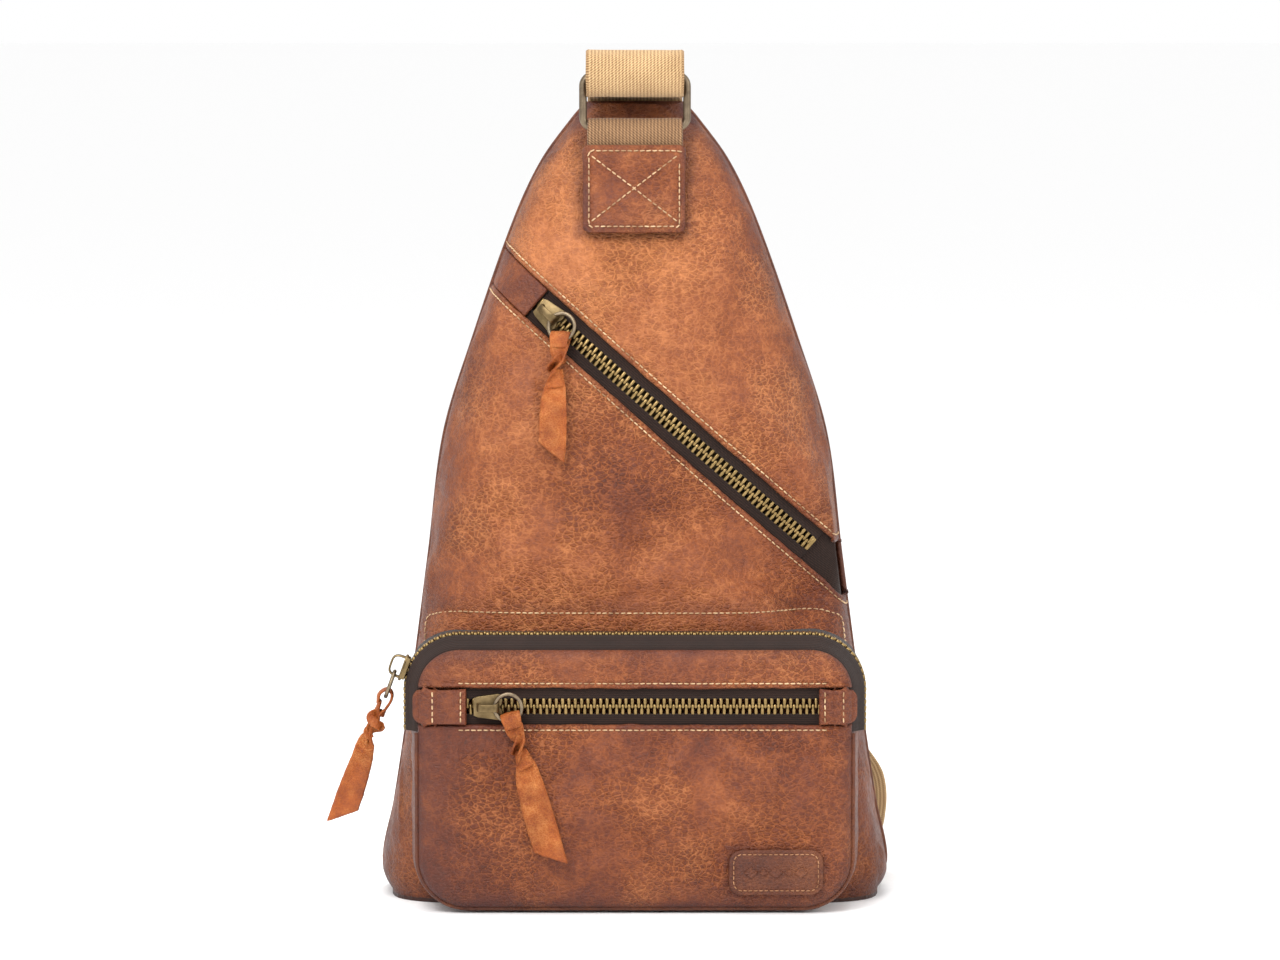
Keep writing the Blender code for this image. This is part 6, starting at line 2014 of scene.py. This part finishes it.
def make_stage(look):
    """White paper floor, soft lamps from both sides and above, and a long lens at a low height."""
    builder = bmesh.new()
    rows = [[builder.verts.new((x, y, 0)) for x in np.linspace(-6, 6, 13)] for y in np.linspace(-4, 26, 13)]
    for low, high in zip(rows, rows[1:]):
        for k in range(12):
            builder.faces.new((low[k], low[k + 1], high[k + 1], high[k]))
    mesh = bpy.data.meshes.new("floor")
    builder.to_mesh(mesh)
    builder.free()
    floor = link("floor", mesh, "backdrop paper")

    scene = bpy.context.scene
    world = bpy.data.worlds.new("studio")
    world.use_nodes = True
    sky = world.node_tree.nodes["Background"]
    sky.inputs["Color"].default_value = (1, 1, 1, 1)
    sky.inputs["Strength"].default_value = look.fill_light
    scene.world = world
    scene.view_settings.view_transform = "Standard"
    for name, place, size, power in (("key", (-.6, -1.5, 1.55), .9, look.key_light),
                                     ("side", (1.5, -1.1, .9), 1.0, look.key_light * .3),
                                     ("top", (0, 0, 1.9), 1.2, look.key_light * .5)):
        lamp = bpy.data.lights.new(name, "AREA")
        lamp.shape, lamp.size, lamp.energy = "SQUARE", size, power
        holder = bpy.data.objects.new(name, lamp)
        holder.location = place
        holder.rotation_euler = (Vector((0, 0, .2)) - Vector(place)).to_track_quat("-Z", "Y").to_euler()
        scene.collection.objects.link(holder)
    camera = bpy.data.objects.new("camera", bpy.data.cameras.new("camera"))
    distance, tilt, width = 3.0, math.radians(5), .627
    aim = Vector((2.45 * MM, 0, 205.1 * MM))
    camera.location = aim + Vector((0, -math.cos(tilt), math.sin(tilt))) * distance
    camera.rotation_euler = (math.pi / 2 - tilt, 0, 0)
    camera.data.sensor_width = 36
    camera.data.lens = 36 * distance / width
    camera.data.clip_end = 50
    scene.collection.objects.link(camera)
    scene.camera = camera


# ---- add-on --------------------------------------------------------------------------------------

class SlingLook(bpy.types.PropertyGroup):
    """Sizes, colours and light that a user may change."""
    stitch_pitch: FloatProperty(name="Stitch pitch", description="Length of one stitch and its gap",
                                default=3.0 * MM, min=2 * MM, max=6 * MM, subtype="DISTANCE", unit="LENGTH")
    weave_pitch: FloatProperty(name="Yarn pitch",
        description="Distance between the webbing's ribs, in millimetres",
                               default=1.7, min=.8, max=3)
    slackness: FloatProperty(name="Slackness",
        description="How much the hide outgrows its pattern before it settles",
                             default=.012, min=0, max=.05, subtype="FACTOR")
    leather_colour: FloatVectorProperty(name="Leather", description="Main colour of the pull-up leather",
                                        subtype="COLOR", size=3, default=linear("#84451f")[:3], min=0,
                                        max=1)
    key_light: FloatProperty(name="Key light", description="Power of the main lamp", default=31, min=1,
                             subtype="POWER", unit="POWER")
    fill_light: FloatProperty(name="Fill light", description="Strength of the white surroundings",
        default=1.0, min=0)


class SLINGBAG_OT_materials(bpy.types.Operator):
    """Makes every material"""
    bl_idname = "slingbag.materials"
    bl_label = "Leather, webbing and brass"

    def execute(self, context):
        look = context.scene.sling_look
        make_materials(look)
        return {"FINISHED"}


class SLINGBAG_OT_stage(bpy.types.Operator):
    """Adds the floor, the lamps and the camera"""
    bl_idname = "slingbag.stage"
    bl_label = "Stage"

    def execute(self, context):
        look = context.scene.sling_look
        make_stage(look)
        return {"FINISHED"}


class SLINGBAG_OT_front_panels(bpy.types.Operator):
    """Makes the hide above and below the main zip, and the strip at its end"""
    bl_idname = "slingbag.front_panels"
    bl_label = "Front panels"

    def execute(self, context):
        look = context.scene.sling_look
        make_front_panels(look)
        make_left_strip()
        return {"FINISHED"}


class SLINGBAG_OT_back(bpy.types.Operator):
    """Makes the padded back, its welt and the base"""
    bl_idname = "slingbag.back"
    bl_label = "Back and base"

    def execute(self, context):
        make_back()
        return {"FINISHED"}


class SLINGBAG_OT_main_zip(bpy.types.Operator):
    """Makes the diagonal zip's tapes and teeth"""
    bl_idname = "slingbag.main_zip"
    bl_label = "Main zip"

    def execute(self, context):
        make_main_zip()
        return {"FINISHED"}


class SLINGBAG_OT_pocket(bpy.types.Operator):
    """Makes the pocket's front, its sides and its welt"""
    bl_idname = "slingbag.pocket"
    bl_label = "Pocket"

    def execute(self, context):
        look = context.scene.sling_look
        make_pocket_front(look)
        make_pocket_sides()
        return {"FINISHED"}


class SLINGBAG_OT_pocket_zip(bpy.types.Operator):
    """Makes the zip across the pocket's front"""
    bl_idname = "slingbag.pocket_zip"
    bl_label = "Pocket zip"

    def execute(self, context):
        make_pocket_zip()
        return {"FINISHED"}


class SLINGBAG_OT_band_zip(bpy.types.Operator):
    """Makes the zip round the pocket's top"""
    bl_idname = "slingbag.band_zip"
    bl_label = "Band zip"

    def execute(self, context):
        make_band_zip()
        return {"FINISHED"}


class SLINGBAG_OT_trim(bpy.types.Operator):
    """Makes the tabs, the label, the strap's patch and the rows of stitches"""
    bl_idname = "slingbag.trim"
    bl_label = "Tabs, label and patch"

    def execute(self, context):
        look = context.scene.sling_look
        make_trim(look)
        make_patch(look)
        make_seam_stitches(look)
        return {"FINISHED"}


class SLINGBAG_OT_sliders(bpy.types.Operator):
    """Makes the three cast sliders and their rings"""
    bl_idname = "slingbag.sliders"
    bl_label = "Sliders"

    def execute(self, context):
        make_sliders()
        return {"FINISHED"}


class SLINGBAG_OT_pulls(bpy.types.Operator):
    """Makes the three twisted leather pulls"""
    bl_idname = "slingbag.pulls"
    bl_label = "Leather pulls"

    def execute(self, context):
        make_pulls()
        return {"FINISHED"}


class SLINGBAG_OT_rings(bpy.types.Operator):
    """Makes the strap's rings and its adjuster"""
    bl_idname = "slingbag.rings"
    bl_label = "Rings and adjuster"

    def execute(self, context):
        make_rings()
        return {"FINISHED"}


class SLINGBAG_OT_strap(bpy.types.Operator):
    """Makes the webbing strap and its leather tab"""
    bl_idname = "slingbag.strap"
    bl_label = "Strap"

    def execute(self, context):
        make_strap()
        return {"FINISHED"}


class SLINGBAG_OT_lining(bpy.types.Operator):
    """Finishes the pieces inside the bag"""
    bl_idname = "slingbag.lining"
    bl_label = "Lining"

    def execute(self, context):
        finish_inner_nodes()
        return {"FINISHED"}


OPERATORS = [
    SLINGBAG_OT_materials, SLINGBAG_OT_stage, SLINGBAG_OT_front_panels, SLINGBAG_OT_back,
    SLINGBAG_OT_main_zip, SLINGBAG_OT_pocket, SLINGBAG_OT_pocket_zip, SLINGBAG_OT_band_zip,
    SLINGBAG_OT_trim, SLINGBAG_OT_sliders, SLINGBAG_OT_pulls, SLINGBAG_OT_rings, SLINGBAG_OT_strap,
    SLINGBAG_OT_lining,
]


class SLINGBAG_PT_panel(bpy.types.Panel):
    """Lists the settings and the pieces."""
    bl_label = "Sling bag"
    bl_idname = "SLINGBAG_PT_panel"
    bl_space_type = "VIEW_3D"
    bl_region_type = "UI"
    bl_category = "Sling Bag"

    def draw(self, context):
        look = context.scene.sling_look
        for name in ("stitch_pitch", "weave_pitch", "slackness", "leather_colour", "key_light",
            "fill_light"):
            self.layout.prop(look, name)
        for made in OPERATORS:
            self.layout.operator(made.bl_idname)


def register():
    for made in [SlingLook] + OPERATORS + [SLINGBAG_PT_panel]:
        bpy.utils.register_class(made)
    bpy.types.Scene.sling_look = PointerProperty(type=SlingLook)


def unregister():
    del bpy.types.Scene.sling_look
    for made in reversed([SlingLook] + OPERATORS + [SLINGBAG_PT_panel]):
        bpy.utils.unregister_class(made)


def main():
    register()
    for made in OPERATORS:
        getattr(bpy.ops.slingbag, made.bl_idname.split(".")[1])()
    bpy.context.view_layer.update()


if __name__ == "__main__":
    main()
